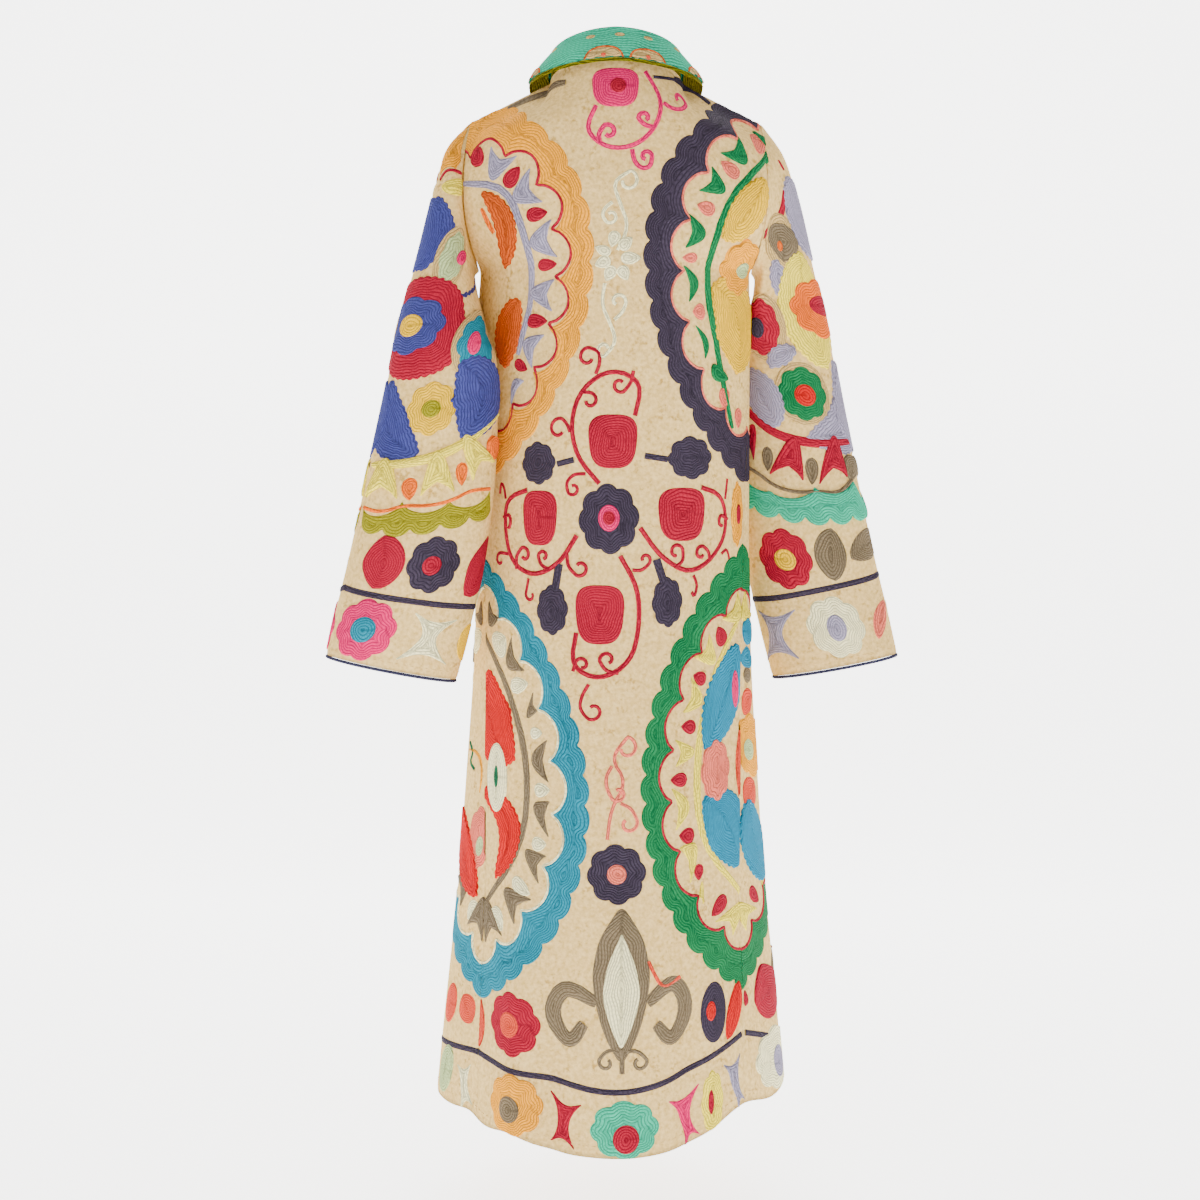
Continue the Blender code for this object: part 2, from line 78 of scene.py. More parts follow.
FRONT_YOKE = (
    (0.000, 0.078, -0.004, -0.030, 0.172, 0.000, -0.076, 20, 1.00),
    (0.050, 0.067, 0.044, -0.078, 0.174, 0.033, -0.112, 40, 1.05),
    (0.105, 0.053, 0.080, -0.130, 0.174, 0.047, -0.150, 55, 1.15),
    (0.160, 0.038, 0.105, -0.180, 0.171, 0.048, -0.190, 66, 1.30),
    (0.210, 0.024, 0.120, -0.224, 0.166, 0.034, -0.226, 78, 1.45),
    (0.250, 0.0145, 0.128, -0.262, 0.160, 0.000, -0.250, 90, 1.55),
)
FOLDS = (
    (-22, 6, -0.0060, 0.80, 0.000),
    (-37, 9, 0.0085, 0.74, 0.010),
    (5, 12, 0.0045, 0.78, 0.000),
    (29, 7, -0.0050, 0.76, 0.000),
    (54, 19, -0.0030, 0.80, 0.022),
    (-62, 8, -0.0045, 0.82, 0.005),
    (-84, 11, 0.0050, 0.78, 0.000),
    (88, 11, 0.0045, 0.80, 0.008),
    (-122, 13, -0.0080, 0.45, 0.002),
    (126, 13, -0.0075, 0.50, 0.003),
    (-152, 10, 0.0075, 0.42, 0.000),
    (154, 10, 0.0080, 0.46, 0.000),
)
# Sleeve rings: outer x and z, inner x and z, half depth, sway.
SLEEVE = (
    (0.1975, -0.109, 0.1660, -0.262, 0.0500, 0.016),
    (0.2130, -0.158, 0.1580, -0.300, 0.0490, 0.031),
    (0.2315, -0.236, 0.1480, -0.338, 0.0490, 0.051),
    (0.2530, -0.323, 0.1400, -0.362, 0.0510, 0.067),
    (0.2720, -0.413, 0.1385, -0.432, 0.0500, 0.068),
    (0.2920, -0.503, 0.1430, -0.518, 0.0490, 0.067),
    (0.3125, -0.593, 0.1565, -0.611, 0.0470, 0.064),
    (0.3285, -0.657, 0.1725, -0.682, 0.0450, 0.060),
    (0.3400, -0.708, 0.1870, -0.737, 0.0430, 0.056),
)
SLEEVE_SWAY = {"left": -1.0, "right": 0.95}
SLEEVE_SHIFT = {"left": (-0.0030, 0.006), "right": (0.0100, 0.001)}
NECK_HALF, NECK_DEPTH, NAPE_Z = 0.078, 0.076, -0.012
NECK_POINT = np.array((0.078, -0.004, -0.030))
SHOULDER_TIP = np.array((0.172, 0.000, -0.076))
NECK_SHARE, NECK_BLEND = 0.46, 0.075
FRONT_EDGE_X, FRONT_V_DROP = 0.006, 0.320


# %% Rows and rings of cloth
def spline(columns, rows, at):
    """Smooth values of a table's columns at one value of its first column."""
    rows = np.array(rows, float)
    t = rows[:, 0]
    i = int(np.clip(np.searchsorted(t, at) - 1, 0, len(t) - 2))
    slopes = np.gradient(rows, t, axis=0)
    h = t[i + 1] - t[i]
    s = (at - t[i]) / h
    a = (1 + 2 * s) * (1 - s) ** 2 * rows[i] + s * (1 - s) ** 2 * h * slopes[i]
    b = s * s * (3 - 2 * s) * rows[i + 1] + s * s * (s - 1) * h * slopes[i + 1]
    return dict(zip(columns, a + b))


def smooth(share):
    """0 to 1 with a soft start and end."""
    share = np.clip(share, 0.0, 1.0)
    return share * share * (3 - 2 * share)


def flattened(turn, flatness):
    """The cosine of turn, drawn in for flatter faces and tighter sides."""
    cosine = np.cos(turn)
    return np.copysign(np.abs(cosine) ** flatness, cosine)


def body_row(panel, drop):
    """Centre point, edge point, sweep and flatness of a panel's row at a drop."""
    underarm = RINGS[0][0]
    if drop < underarm:
        r = spline(YOKE_COLUMNS, BACK_YOKE if panel == "back" else FRONT_YOKE, drop)
        centre, edge = (r["cx"], r["cy"], r["cz"]), (r["ex"], r["ey"], r["ez"])
        return centre, edge, math.radians(r["sweep_deg"]), r["flatness"]
    r = spline(RING_COLUMNS, RINGS, drop)
    seam = math.radians(r["seam_deg"])
    share = flattened(seam, r["flatness"])
    edge = (r["half_width"] * math.sin(seam), -r["back_depth"] * share, -drop + r["rise"] * (1 - share))
    if panel == "back":
        return (0.0, -r["back_depth"], -drop), edge, seam, r["flatness"]
    lapel = smooth((FRONT_V_DROP - drop) / (FRONT_V_DROP - underarm))
    x = FRONT_EDGE_X + (FRONT_YOKE[-1][1] - FRONT_EDGE_X) * lapel
    z = -drop + r["rise"] + (FRONT_YOKE[-1][3] + underarm) * lapel
    return (x, r["front_depth"], z), edge, math.pi - seam, r["flatness"]


def top_line(share):
    """The back's top edge from the centre: half of the neckline, then the shoulder seam."""
    turn = math.pi / 2 * np.minimum(share / NECK_SHARE, 1.0)
    step = np.maximum((share - NECK_SHARE) / (1 - NECK_SHARE), 0.0)[:, None]
    bend = 1 - np.cos(turn)
    neck = np.stack([NECK_HALF * np.sin(turn),
                     NECK_POINT[1] - (NECK_DEPTH + NECK_POINT[1]) * np.cos(turn),
                     NAPE_Z + (NECK_POINT[2] - NAPE_Z) * bend], axis=-1)
    return neck + step * (SHOULDER_TIP - NECK_POINT)


def body_line(panel, drop, across):
    """One row of a body panel's outer face: across is 0 at the centre and 1 at the seam."""
    side, share = np.where(across < 0, -1.0, 1.0), np.abs(across)
    centre, edge, sweep, flatness = body_row(panel, drop)
    turn = share * sweep
    flat = flattened(turn, flatness)
    bow = (1 - flat) / (1 - flattened(sweep, flatness))
    x = centre[0] + (edge[0] - centre[0]) * np.sin(turn) / math.sin(sweep)
    y = centre[1] + (edge[1] - centre[1]) * bow
    if sweep > math.pi / 2:
        y = flat * np.where(turn < math.pi / 2, centre[1], edge[1] / flattened(sweep, flatness))
    z = centre[2] + (edge[2] - centre[2]) * bow
    points = np.stack([x, y, z], axis=-1)
    if drop < NECK_BLEND:
        c, e, w, _ = body_row(panel, 0.0)
        b = (1 - np.cos(share * w)) / (1 - math.cos(w))
        bowed = np.array(c) + (np.array(e) - c) * np.stack([np.sin(share * w) / math.sin(w), b, b], axis=-1)
        sewn = share if panel == "back" else NECK_SHARE + (1 - NECK_SHARE) * share
        points += (top_line(sewn) - bowed) * (1 - smooth(drop / NECK_BLEND))
    angle = np.degrees(np.arctan2(side * points[:, 0], -points[:, 1]))
    reach = np.hypot(points[:, 0], points[:, 1])
    unit = points[:, :2] / reach[:, None]
    for fold_angle, width, depth, start, lift in FOLDS:
        apart = (angle - fold_angle + 180) % 360 - 180
        pull = np.exp(-((apart / width) ** 2)) * smooth((drop - start) / (RINGS[-1][0] - start))
        points[:, :2] += unit * (depth * pull)[:, None]
        points[:, 2] += lift * pull
    points[:, 0] *= side
    return points


def armhole(turns):
    """The armhole seam: turn 0 at the shoulder tip, a quarter turn behind, half a turn under the arm."""
    share = np.abs((turns + math.pi) % (2 * math.pi) - math.pi) / math.pi
    drops = RINGS[0][0] * (0.8 * share + 0.1 * (1 - np.cos(math.pi * share)))
    drops = np.minimum(drops, RINGS[0][0] - 1e-6)
    behind = turns % (2 * math.pi) < math.pi
    one = np.array([1.0])
    return np.array([body_line("back" if b else "front", d, one)[0] for b, d in zip(behind, drops)])


def sleeve_grid(side, rows, columns):
    """A sleeve's outer face, from the armhole to the cuff and once round from underarm to underarm."""
    turns = np.linspace(-math.pi, math.pi, columns)
    under = smooth((1 - np.cos(turns)) / 2)
    seam = armhole(turns) + np.stack([0.0006 + 0.0008 * under, 0 * under, 0.0002 + 0 * under], axis=-1)
    rings = [seam]
    for index, row in enumerate(SLEEVE, 1):
        outer, inner = np.array((row[0], 0.0, row[1])), np.array((row[2], 0.0, row[3]))
        sideways, up = SLEEVE_SHIFT[side]
        away = SLEEVE_SWAY[side] * row[5] - row[4] * np.sin(turns)
        shift = np.stack([0 * away + sideways * smooth(index / 4), away,
                          0 * away + up * index / len(SLEEVE)], axis=-1)
        rings.append((outer + inner) / 2 + (outer - inner) / 2 * np.cos(turns)[:, None] + shift)
    rings = np.array(rings)
    last = len(SLEEVE)
    grid = []
    for along in np.linspace(0, last, rows):
        i = min(int(along), last - 1)
        s = along - i
        near = [rings[min(max(k, 0), last)] for k in range(i - 1, i + 3)]
        slope_in = (near[2] - near[0]) / (2 if i > 0 else 1)
        slope_out = (near[3] - near[1]) / (2 if i < last - 1 else 1)
        grid.append((1 + 2 * s) * (1 - s) ** 2 * near[1] + s * (1 - s) ** 2 * slope_in
                    + s * s * (3 - 2 * s) * near[2] + s * s * (s - 1) * slope_out)
    return np.array(grid) * (-1 if side == "left" else 1, 1, 1)


def body_grid(panel, rows, columns):
    """A body panel's outer face. A front runs from its edge at centre front to the side seam."""
    drops = np.linspace(0, RINGS[-1][0], rows)
    if panel == "back":
        return np.array([body_line("back", d, np.linspace(-1, 1, columns)) for d in drops])
    sign = -1.0 if panel == "front_left" else 1.0
    grid = np.array([body_line("front", d, sign * np.linspace(0.001, 1, columns)) for d in drops])
    grid[0, :, 1] += 0.0004
    return grid


LEVEL = 0.004


class Cloth:
    """A panel's outer face as a grid of points, with a flat place for each: across and down, in metres."""

    def __init__(self, name, points, first, outward, creases=()):
        self.name = name
        self.points = points
        down = np.gradient(points, axis=0)
        along = np.gradient(points, axis=1)
        normals = np.cross(down, along)
        normals *= outward / np.maximum(np.linalg.norm(normals, axis=-1, keepdims=True), 1e-12)
        self.normals = normals
        depth = np.maximum.accumulate(-points[..., 2] + 1e-9 * np.arange(len(points))[:, None], axis=0)
        self.levels = np.arange(depth.min(), depth.max() + LEVEL, LEVEL)
        columns = points.shape[1]
        both = np.concatenate([points, normals], axis=-1)
        sliced = np.array([[np.interp(self.levels, depth[:, j], both[:, j, k]) for k in range(6)]
                           for j in range(columns)]).transpose(2, 0, 1)
        inside = (self.levels[:, None] >= depth[0] - 1e-6) & (self.levels[:, None] <= depth[-1] + LEVEL)
        steps = np.linalg.norm(np.diff(sliced[..., :2], axis=1), axis=-1)
        across = np.concatenate([np.zeros((len(self.levels), 1)), np.cumsum(steps, axis=1)], axis=1)
        across -= across[:, first:first + 1]
        self.low, self.high = across.min(), across.max()
        self.spots = np.arange(self.low, self.high + LEVEL, LEVEL)
        table = []
        for i in range(len(self.levels)):
            keep = inside[i] if inside[i].sum() > 1 else slice(None)
            table.append([np.interp(self.spots, across[i][keep], sliced[i, :, k][keep]) for k in range(6)])
        table = np.array(table).transpose(0, 2, 1)
        self.across = np.array([np.interp(depth[:, j], self.levels, across[:, j]) for j in range(columns)]).T
        self.down = depth
        kept = [row[held] if held.any() else np.zeros(1) for row, held in zip(across, inside)]
        self.edge_low = np.array([row.min() for row in kept])
        self.edge_high = np.array([row.max() for row in kept])
        spot, level = np.meshgrid(self.spots, self.levels)
        self.table = table
        self.table[..., 3:] /= np.linalg.norm(table[..., 3:], axis=-1, keepdims=True)
        self.table[..., :3] += self.table[..., 3:] * creased(spot, level, creases)[..., None]
        self.points = points + normals * creased(self.across, depth, creases)[..., None]

    def at(self, across, down, lift=0.0):
        """Points at flat places, lifted off the cloth."""
        x = np.clip((across - self.spots[0]) / LEVEL, 0, len(self.spots) - 1.001)
        y = np.clip((down - self.levels[0]) / LEVEL, 0, len(self.levels) - 1.001)
        i, j = y.astype(int), x.astype(int)
        u, v = (x - j)[..., None], (y - i)[..., None]
        t = self.table
        found = ((1 - v) * ((1 - u) * t[i, j] + u * t[i, j + 1])
                 + v * ((1 - u) * t[i + 1, j] + u * t[i + 1, j + 1]))
        return found[..., :3] + found[..., 3:] * np.asarray(lift)[..., None]

    def on_it(self, across, down):
        """Whether flat places lie on the panel."""
        low = np.interp(down, self.levels, self.edge_low)
        high = np.interp(down, self.levels, self.edge_high)
        between = (across > low + 1e-5) & (across < high - 1e-5)
        return between & (down > self.levels[0]) & (down < self.levels[-1])


def creased(across, down, creases):
    """How far soft creases lift the cloth: each is a line through flat places, a width and a depth."""
    total = np.zeros(across.shape)
    for width, depth, *line in creases:
        line = np.array(line, float) / 1000
        near = np.full(across.shape, 9.0)
        for a, b in zip(line[:-1], line[1:]):
            d = b - a
            t = np.clip(((across - a[0]) * d[0] + (down - a[1]) * d[1]) / (d @ d), 0, 1)
            near = np.minimum(near, np.hypot(across - a[0] - t * d[0], down - a[1] - t * d[1]))
        total += depth / 1000 * np.exp(-((near * 1000 / width) ** 2))
    return total

# %% [markdown]
# ## Thread and cloth
#
# The ornament is chain stitch: rows of small loops that follow each motif's outline, with dark gaps
# between the rows. Modelling every loop would take millions of faces, so each motif is a raised patch
# whose own flat map counts the rows, and the material draws the loops from it, with painted shade in
# the gaps between rows and loops and a painted highlight on the loop tops.

# %% Shader sums, the cotton and the threads
class Sum:
    """A shader socket that can be used in sums like a number."""

    def __init__(self, tree, socket):
        self.tree = tree
        self.socket = socket

    def maths(self, operation, *values):
        return node(self.tree, "ShaderNodeMath", values, operation=operation)

    def __add__(self, other):
        return self.maths("ADD", self, other)

    def __radd__(self, other):
        return self.maths("ADD", other, self)

    def __sub__(self, other):
        return self.maths("SUBTRACT", self, other)

    def __rsub__(self, other):
        return self.maths("SUBTRACT", other, self)

    def __mul__(self, other):
        return self.maths("MULTIPLY", self, other)

    def __rmul__(self, other):
        return self.maths("MULTIPLY", other, self)

    def __truediv__(self, other):
        return self.maths("DIVIDE", self, other)

    def __pow__(self, other):
        return self.maths("POWER", self, other)

    def __abs__(self):
        return self.maths("ABSOLUTE", self)

    def floor(self):
        return self.maths("FLOOR", self)

    def part(self):
        return self.maths("FRACT", self)

    def clamped(self):
        return node(self.tree, "ShaderNodeClamp", (self, 0.0, 1.0))


def node(tree, kind, values=(), output=0, **settings):
    """A new node with its inputs filled in order, or by index from a dictionary."""
    made = tree.nodes.new(kind)
    for key, value in settings.items():
        setattr(made, key, value)
    filled = values.items() if isinstance(values, dict) else enumerate(values)
    for index, value in filled:
        if isinstance(value, Sum):
            tree.links.new(value.socket, made.inputs[index])
        elif value is not None:
            made.inputs[index].default_value = value
    return Sum(tree, made.outputs[output])


def blank(name):
    """An empty material, its node tree and its shader."""
    material = bpy.data.materials.new(name)
    material.use_nodes = True
    return material, material.node_tree, material.node_tree.nodes["Principled BSDF"]


def noise(tree, place, scale, detail=2.0):
    return node(tree, "ShaderNodeTexNoise", {0: place, 2: scale, 3: detail})


def mixed(tree, share, a, b):
    """Colour a where share is 0 and colour b where it is 1."""
    return node(tree, "ShaderNodeMix", {0: share, 6: a, 7: b}, output=2, data_type="RGBA")


def finished(shader, tree, colour, roughness, height, distance):
    """Connects a colour and a height to a cloth's shader."""
    tree.links.new(colour.socket, shader.inputs["Base Color"])
    shader.inputs["Roughness"].default_value = roughness
    shader.inputs["Specular IOR Level"].default_value = 0.04
    bump = node(tree, "ShaderNodeBump", {0: 0.9, 1: distance, BUMP_HEIGHT: height})
    tree.links.new(bump.socket, shader.inputs["Normal"])


def bump_height_index():
    """The index of a bump node's height input."""
    tree = bpy.data.node_groups.new("probe", "ShaderNodeTree")
    names = [i.name for i in tree.nodes.new("ShaderNodeBump").inputs]
    bpy.data.node_groups.remove(tree)
    return names.index("Height")


BUMP_HEIGHT = bump_height_index()
COTTON_LIGHT = (0.80, 0.56, 0.22, 1)
COTTON = (0.62, 0.405, 0.13, 1)
COTTON_DARK = (0.42, 0.25, 0.065, 1)
THREADS = {
    "crimson": (0.36, 0, 0.022),
    "hot_pink": (0.74, 0, 0.12),
    "coral": (0.7, 0.06, 0.025),
    "salmon": (0.78, 0.15, 0.095),
    "red": (0.58, 0, 0),
    "rust": (0.55, 0.075, 0),
    "orange": (0.84, 0.13, 0),
    "amber": (0.92, 0.34, 0),
    "lemon": (0.88, 0.7, 0.05),
    "yellow": (0.84, 0.48, 0),
    "olive": (0.28, 0.25, 0),
    "leaf_green": (0, 0.16, 0.045),
    "mint": (0.01, 0.42, 0.24),
    "pale_mint": (0.45, 0.55, 0.24),
    "teal": (0, 0.2, 0.29),
    "sky": (0, 0.2, 0.34),
    "blue": (0.04, 0.046, 0.22),
    "lilac": (0.3, 0.27, 0.38),
    "charcoal": (0.032, 0.022, 0.042),
    "taupe": (0.17, 0.125, 0.07),
    "cream": (0.9, 0.82, 0.46),
    "sand": (0.56, 0.37, 0.13),
    "dark_green": (0.006, 0.12, 0.05),
}
ROW = 0.0030
LOOP = 0.0056


def cotton(name):
    """Natural cotton with pale slubs, darker specks and a fine crinkle."""
    material, tree, shader = blank(name)
    place = node(tree, "ShaderNodeTexCoord", output=3)
    slubs = noise(tree, place, 230.0, 2.0)
    patches = noise(tree, place, 60.0, 3.0)
    crinkle = noise(tree, place, 48.0, 5.0)
    base = mixed(tree, ((slubs - 0.50) * 3.0 + 0.5).clamped(), COTTON, COTTON_LIGHT)
    colour = mixed(tree, ((0.44 - patches) * 4.0 + (0.42 - slubs) * 3.0).clamped(), base, COTTON_DARK)
    finished(shader, tree, colour, 0.92, crinkle * 0.8 + slubs * 0.2, 0.0042)
    return material


def thread(name, colour, row=ROW, loop=LOOP):
    """Chain stitch in one thread with painted shade and highlight. The map called stitch holds metres across
    and along the rows.
    """
    material, tree, shader = blank(f"{name}_thread")
    place = node(tree, "ShaderNodeTexCoord", output=3)
    flat = node(tree, "ShaderNodeUVMap", uv_map="stitch")
    split = tree.nodes.new("ShaderNodeSeparateXYZ")
    tree.links.new(flat.socket, split.inputs[0])
    across, along = Sum(tree, split.outputs[0]), Sum(tree, split.outputs[1])
    patchy = noise(tree, place, 18.0, 0.0)
    wander = (noise(tree, place, 60.0, 0.0) - 0.5) * 0.0050 + (patchy - 0.5) * 0.020
    rows = (across + wander) / row
    side = abs((rows - rows.floor()) * 2.0 - 1.0)
    chance = node(tree, "ShaderNodeTexWhiteNoise", {1: rows.floor()}, noise_dimensions="1D")
    bead = (along / loop + side * 0.42 + chance).part()
    ridge = 1.0 - side ** 2.6
    hump = 1.0 - abs(bead * 2.0 - 1.0) ** 3.0
    height = ridge * (hump * 0.55 + 0.45)
    # Painted shade and highlight: following the stitch height, the colour runs from a darkened copy in the
    # gaps between rows and loops to a lightened copy on the loop tops; patchy and chance add random tone.
    light = 0.22 + height * 0.86 + (patchy - 0.5) * 0.34 + (chance - 0.5) * 0.16
    pale = tuple(min(1.0, c * 1.12 + 0.012) for c in colour)
    painted_shade_colour = tuple(c * 0.30 for c in colour)
    finished(shader, tree, mixed(tree, light.clamped(), (*painted_shade_colour, 1), (*pale, 1)), 0.78, height, 0.0011)
    return material


GROUND = cotton("sand_cotton")
THREAD = {name: thread(name, colour) for name, colour in THREADS.items()}
THREAD_NUMBER = {name: i for i, name in enumerate(THREADS)}
print("threads:", len(THREAD))

# %% [markdown]
# ## Cloth shells
#
# Each cut piece is one thin closed shell on the form of its solid. Soft creases are placed on
# it, as troughs and ridges along lines, because a filled-out coat keeps few and shallow ones.

# %% Build the shells
THICKNESS = 0.0020
RIM_DIP = 0.0007


def mesh_object(name, points, faces, materials, flat=None, flat_name="flat"):
    """One smooth mesh object, with a flat map of its own where it has one."""
    mesh = bpy.data.meshes.new(name)
    mesh.from_pydata([tuple(p) for p in points], [], [tuple(int(i) for i in f) for f in faces])
    mesh.shade_smooth()
    for material in materials:
        mesh.materials.append(material)
    if flat is not None:
        layer = mesh.uv_layers.new(name=flat_name)
        corners = np.zeros(len(mesh.loops), int)
        mesh.loops.foreach_get("vertex_index", corners)
        layer.data.foreach_set("uv", np.asarray(flat, np.float32)[corners].ravel())
    obj = bpy.data.objects.new(name, mesh)
    bpy.context.scene.collection.objects.link(obj)
    return obj


def quads(rows, columns, ring=False, start=0):
    """Faces of a grid of points."""
    i, j = np.meshgrid(np.arange(rows - 1), np.arange(columns if ring else columns - 1), indexing="ij")
    k = (j + 1) % columns
    faces = np.stack([i * columns + j, (i + 1) * columns + j, (i + 1) * columns + k, i * columns + k], -1)
    return faces.reshape(-1, 4) + start


def shell(name, outer, normals, material, flat, ring=False, thickness=THICKNESS, turned=False):
    """A closed shell: outer face, inner face and the edges between, with the rim rounded down."""
    rows, columns = outer.shape[:2]
    outer = outer.copy()
    dip = np.zeros((rows, columns, 1))
    dip[0] = dip[-1] = RIM_DIP
    if not ring:
        dip[:, 0] = dip[:, -1] = RIM_DIP
    inner = outer - normals * (thickness - dip * 0.4)
    outer = outer - normals * dip
    count = rows * columns
    top = quads(rows, columns, ring)
    under = quads(rows, columns, ring, count)[:, ::-1]
    j = np.arange(columns if ring else columns - 1)
    k = (j + 1) % columns
    low = (rows - 1) * columns
    rims = [np.stack([k, k + count, j + count, j], -1)[:, ::-1],
            np.stack([low + j, low + j + count, low + k + count, low + k], -1)[:, ::-1]]
    if not ring:
        i = np.arange(rows - 1) * columns
        end = i + columns - 1
        rims.append(np.stack([i, i + count, i + columns + count, i + columns], -1)[:, ::-1])
        rims.append(np.stack([end + columns, end + columns + count, end + count, end], -1)[:, ::-1])
    faces = np.concatenate([top, under, *rims])
    if turned:
        faces = faces[:, ::-1]
    points = np.concatenate([outer.reshape(-1, 3), inner.reshape(-1, 3)])
    return mesh_object(name, points, faces, [material], np.concatenate([flat, flat]))


# Each crease: half width and height in millimetres, then flat places (across, down) along it.
CREASES = {
    "back": (
        (9, -1.6, (-150, 150), (-128, 215), (-112, 300)),
        (8, 1.4, (-158, 190), (-140, 260), (-126, 330)),
        (10, -1.5, (150, 160), (134, 220), (116, 292)),
        (8, 1.3, (160, 205), (146, 270), (132, 335)),
        (12, -1.0, (-60, 120), (-66, 260), (-52, 380)),
        (12, -0.9, (44, 330), (40, 470), (52, 600)),
        (14, 1.0, (-30, 520), (-38, 660), (-30, 800)),
        (13, -1.1, (96, 560), (104, 700), (98, 860)),
        (12, -1.0, (-112, 600), (-104, 760), (-112, 900)),
    ),
    "front_left": (
        (12, -1.3, (120, 200), (140, 320), (132, 460)),
        (12, 1.2, (210, 280), (190, 420), (196, 560)),
        (14, -1.2, (80, 620), (88, 800), (80, 980)),
        (13, 1.1, (190, 700), (200, 880), (192, 1060)),
    ),
    "front_right": (
        (12, -1.2, (112, 210), (134, 340), (128, 470)),
        (13, 1.2, (200, 300), (184, 430), (190, 590)),
        (14, -1.1, (90, 600), (82, 790), (92, 960)),
        (12, 1.1, (186, 720), (196, 900), (190, 1040)),
    ),
    "sleeve_left": (
        (8, -2.0, (120, 250), (96, 320), (92, 380)),
        (8, 1.6, (140, 290), (116, 350), (110, 420)),
        (9, -1.4, (150, 330), (138, 400), (134, 470)),
        (10, 1.2, (70, 280), (64, 360), (72, 440)),
        (10, -1.3, (60, 470), (68, 560), (62, 650)),
        (10, -1.2, (-70, 260), (-60, 360), (-68, 460)),
        (10, 1.2, (-120, 300), (-104, 400), (-110, 500)),
        (11, -1.1, (-64, 520), (-72, 620), (-66, 690)),
    ),
    "sleeve_right": (
        (8, -1.9, (116, 255), (94, 325), (90, 390)),
        (8, 1.5, (138, 300), (118, 360), (112, 430)),
        (9, -1.3, (152, 340), (140, 410), (136, 480)),
        (10, 1.2, (62, 290), (70, 370), (64, 450)),
        (10, -1.3, (66, 480), (60, 570), (68, 660)),
        (10, -1.2, (-66, 270), (-74, 370), (-64, 470)),
        (10, 1.2, (-116, 310), (-108, 410), (-114, 510)),
        (11, -1.1, (-70, 530), (-62, 630), (-70, 700)),
    ),
}
BACK = Cloth("back", body_grid("back", 200, 97), 48, 1.0, CREASES["back"])
CLOTHS = {"back": BACK}
for side, sign in (("left", 1.0), ("right", -1.0)):
    name = f"front_{side}"
    CLOTHS[name] = Cloth(name, body_grid(name, 200, 55), 0, sign, CREASES[name])
    name = f"sleeve_{side}"
    CLOTHS[name] = Cloth(name, sleeve_grid(side, 110, 89), 44, sign, CREASES[name])

PIECES = {}
for name, cloth in CLOTHS.items():
    flat = np.stack([cloth.across, cloth.down], -1)
    tube = name.startswith("sleeve")
    if tube:
        points, normals, flat = cloth.points[:, :-1], cloth.normals[:, :-1], flat[:, :-1]
    else:
        points, normals = cloth.points, cloth.normals
    turned = name in ("front_right", "sleeve_right")
    PIECES[name] = shell(f"{name}_cloth", points, normals, GROUND, flat.reshape(-1, 2), tube, turned=turned)
    print(name, "flat from", round(cloth.low, 3), "to", round(cloth.high, 3), "m across")

# %% [markdown]
# ## Collar
#
# The collar is a low stand with a wider piece turned down over it, and a second layer shows as a thin
# line under its edge. It is worked all over in green, so its own cloth hardly shows.

# %% Build the collar
COLLAR_COLUMNS = ("along", "stand", "spread", "fall")
COLLAR = (
    (0.00, 0.0305, 0.0190, 0.0350),
    (0.35, 0.0290, 0.0205, 0.0345),
    (0.70, 0.0270, 0.0240, 0.0310),
    (1.00, 0.0240, 0.0290, 0.0230),
    (1.30, 0.0200, 0.0310, 0.0095),
    (1.60, 0.0150, 0.0290, 0.0060),
    (1.86, 0.0110, 0.0160, 0.0030),
)
CROWN_SHARE, CROWN_RADIUS, COLLAR_LAYER, UNDER_PEEK = 0.23, 0.0048, 0.0018, 0.0035


def front_point(across, drop):
    return body_line("front", drop, np.array([across]))[0]


def collar_frames(steps):
    """Along the neckline: where it is, which way is out and up, and the collar's sizes there."""
    frames = []
    for along in np.linspace(-COLLAR[-1][0], COLLAR[-1][0], steps):
        a = abs(along)
        drop = max((a - 1) * FRONT_V_DROP, 0.0)
        out = np.array((math.sin(a * math.pi / 2), -math.cos(a * math.pi / 2), 0.0))
        point = top_line(np.array([min(a, 1.0) * NECK_SHARE]))[0]
        if a > 1:
            point = front_point(0.0, drop)
            across = front_point(0.12, drop) - point
            mix = smooth((a - 1) / 0.25)
            out = (1 - mix) * np.array((1.0, 0.0, 0.0)) + mix * across / np.linalg.norm(across)
            out /= np.linalg.norm(out)
        mix = smooth((a - 0.9) / 0.45)
        level = max(drop, 0.002)
        side = front_point(0.104, level) - front_point(0.096, level)
        down = front_point(0.10, level + 0.0015) - front_point(0.10, level - 0.0015)
        chest = -np.cross(down, side)
        up = (1 - mix) * np.array((0.0, 0.0, 1.0)) + mix * chest / np.linalg.norm(chest)
        up /= np.linalg.norm(up)
        frames.append((math.copysign(1.0, along), point, out, up, spline(COLLAR_COLUMNS, COLLAR, a)))
    return frames


def collar_grid(layer, shares, frames):
    """Points and normals of one collar layer."""
    points = []
    for sign, point, out, up, row in frames:
        foot = point - out * 0.0012 + up * 0.0010
        fold = foot + up * row["stand"] - out * 0.10 * row["stand"]
        radius = min(CROWN_RADIUS, 0.25 * row["stand"])
        crown = fold + up * (COLLAR_LAYER + 0.0012) - out * 0.0012
        start = crown + out * radius * 1.4 - up * radius
        end = fold + out * row["spread"] - up * row["fall"]
        line = []
        for share in shares:
            if layer == "stand":
                spot = fold + (foot + up * 0.0004 - fold) * share
            elif share <= CROWN_SHARE:
                turn = share / CROWN_SHARE * math.pi / 2
                spot = crown + out * radius * math.sin(turn) * 1.4 - up * radius * (1 - math.cos(turn))
            else:
                run = (share - CROWN_SHARE) / (1 - CROWN_SHARE)
                spot = start + (end - start) * run + out * 0.0025 * math.sin(math.pi * run)
            line.append(spot * (sign, 1, 1))
        points.append(line)
    points = np.array(points)
    normals = np.cross(np.gradient(points, axis=1), np.gradient(points, axis=0))
    return points, normals / np.linalg.norm(normals, axis=-1, keepdims=True)


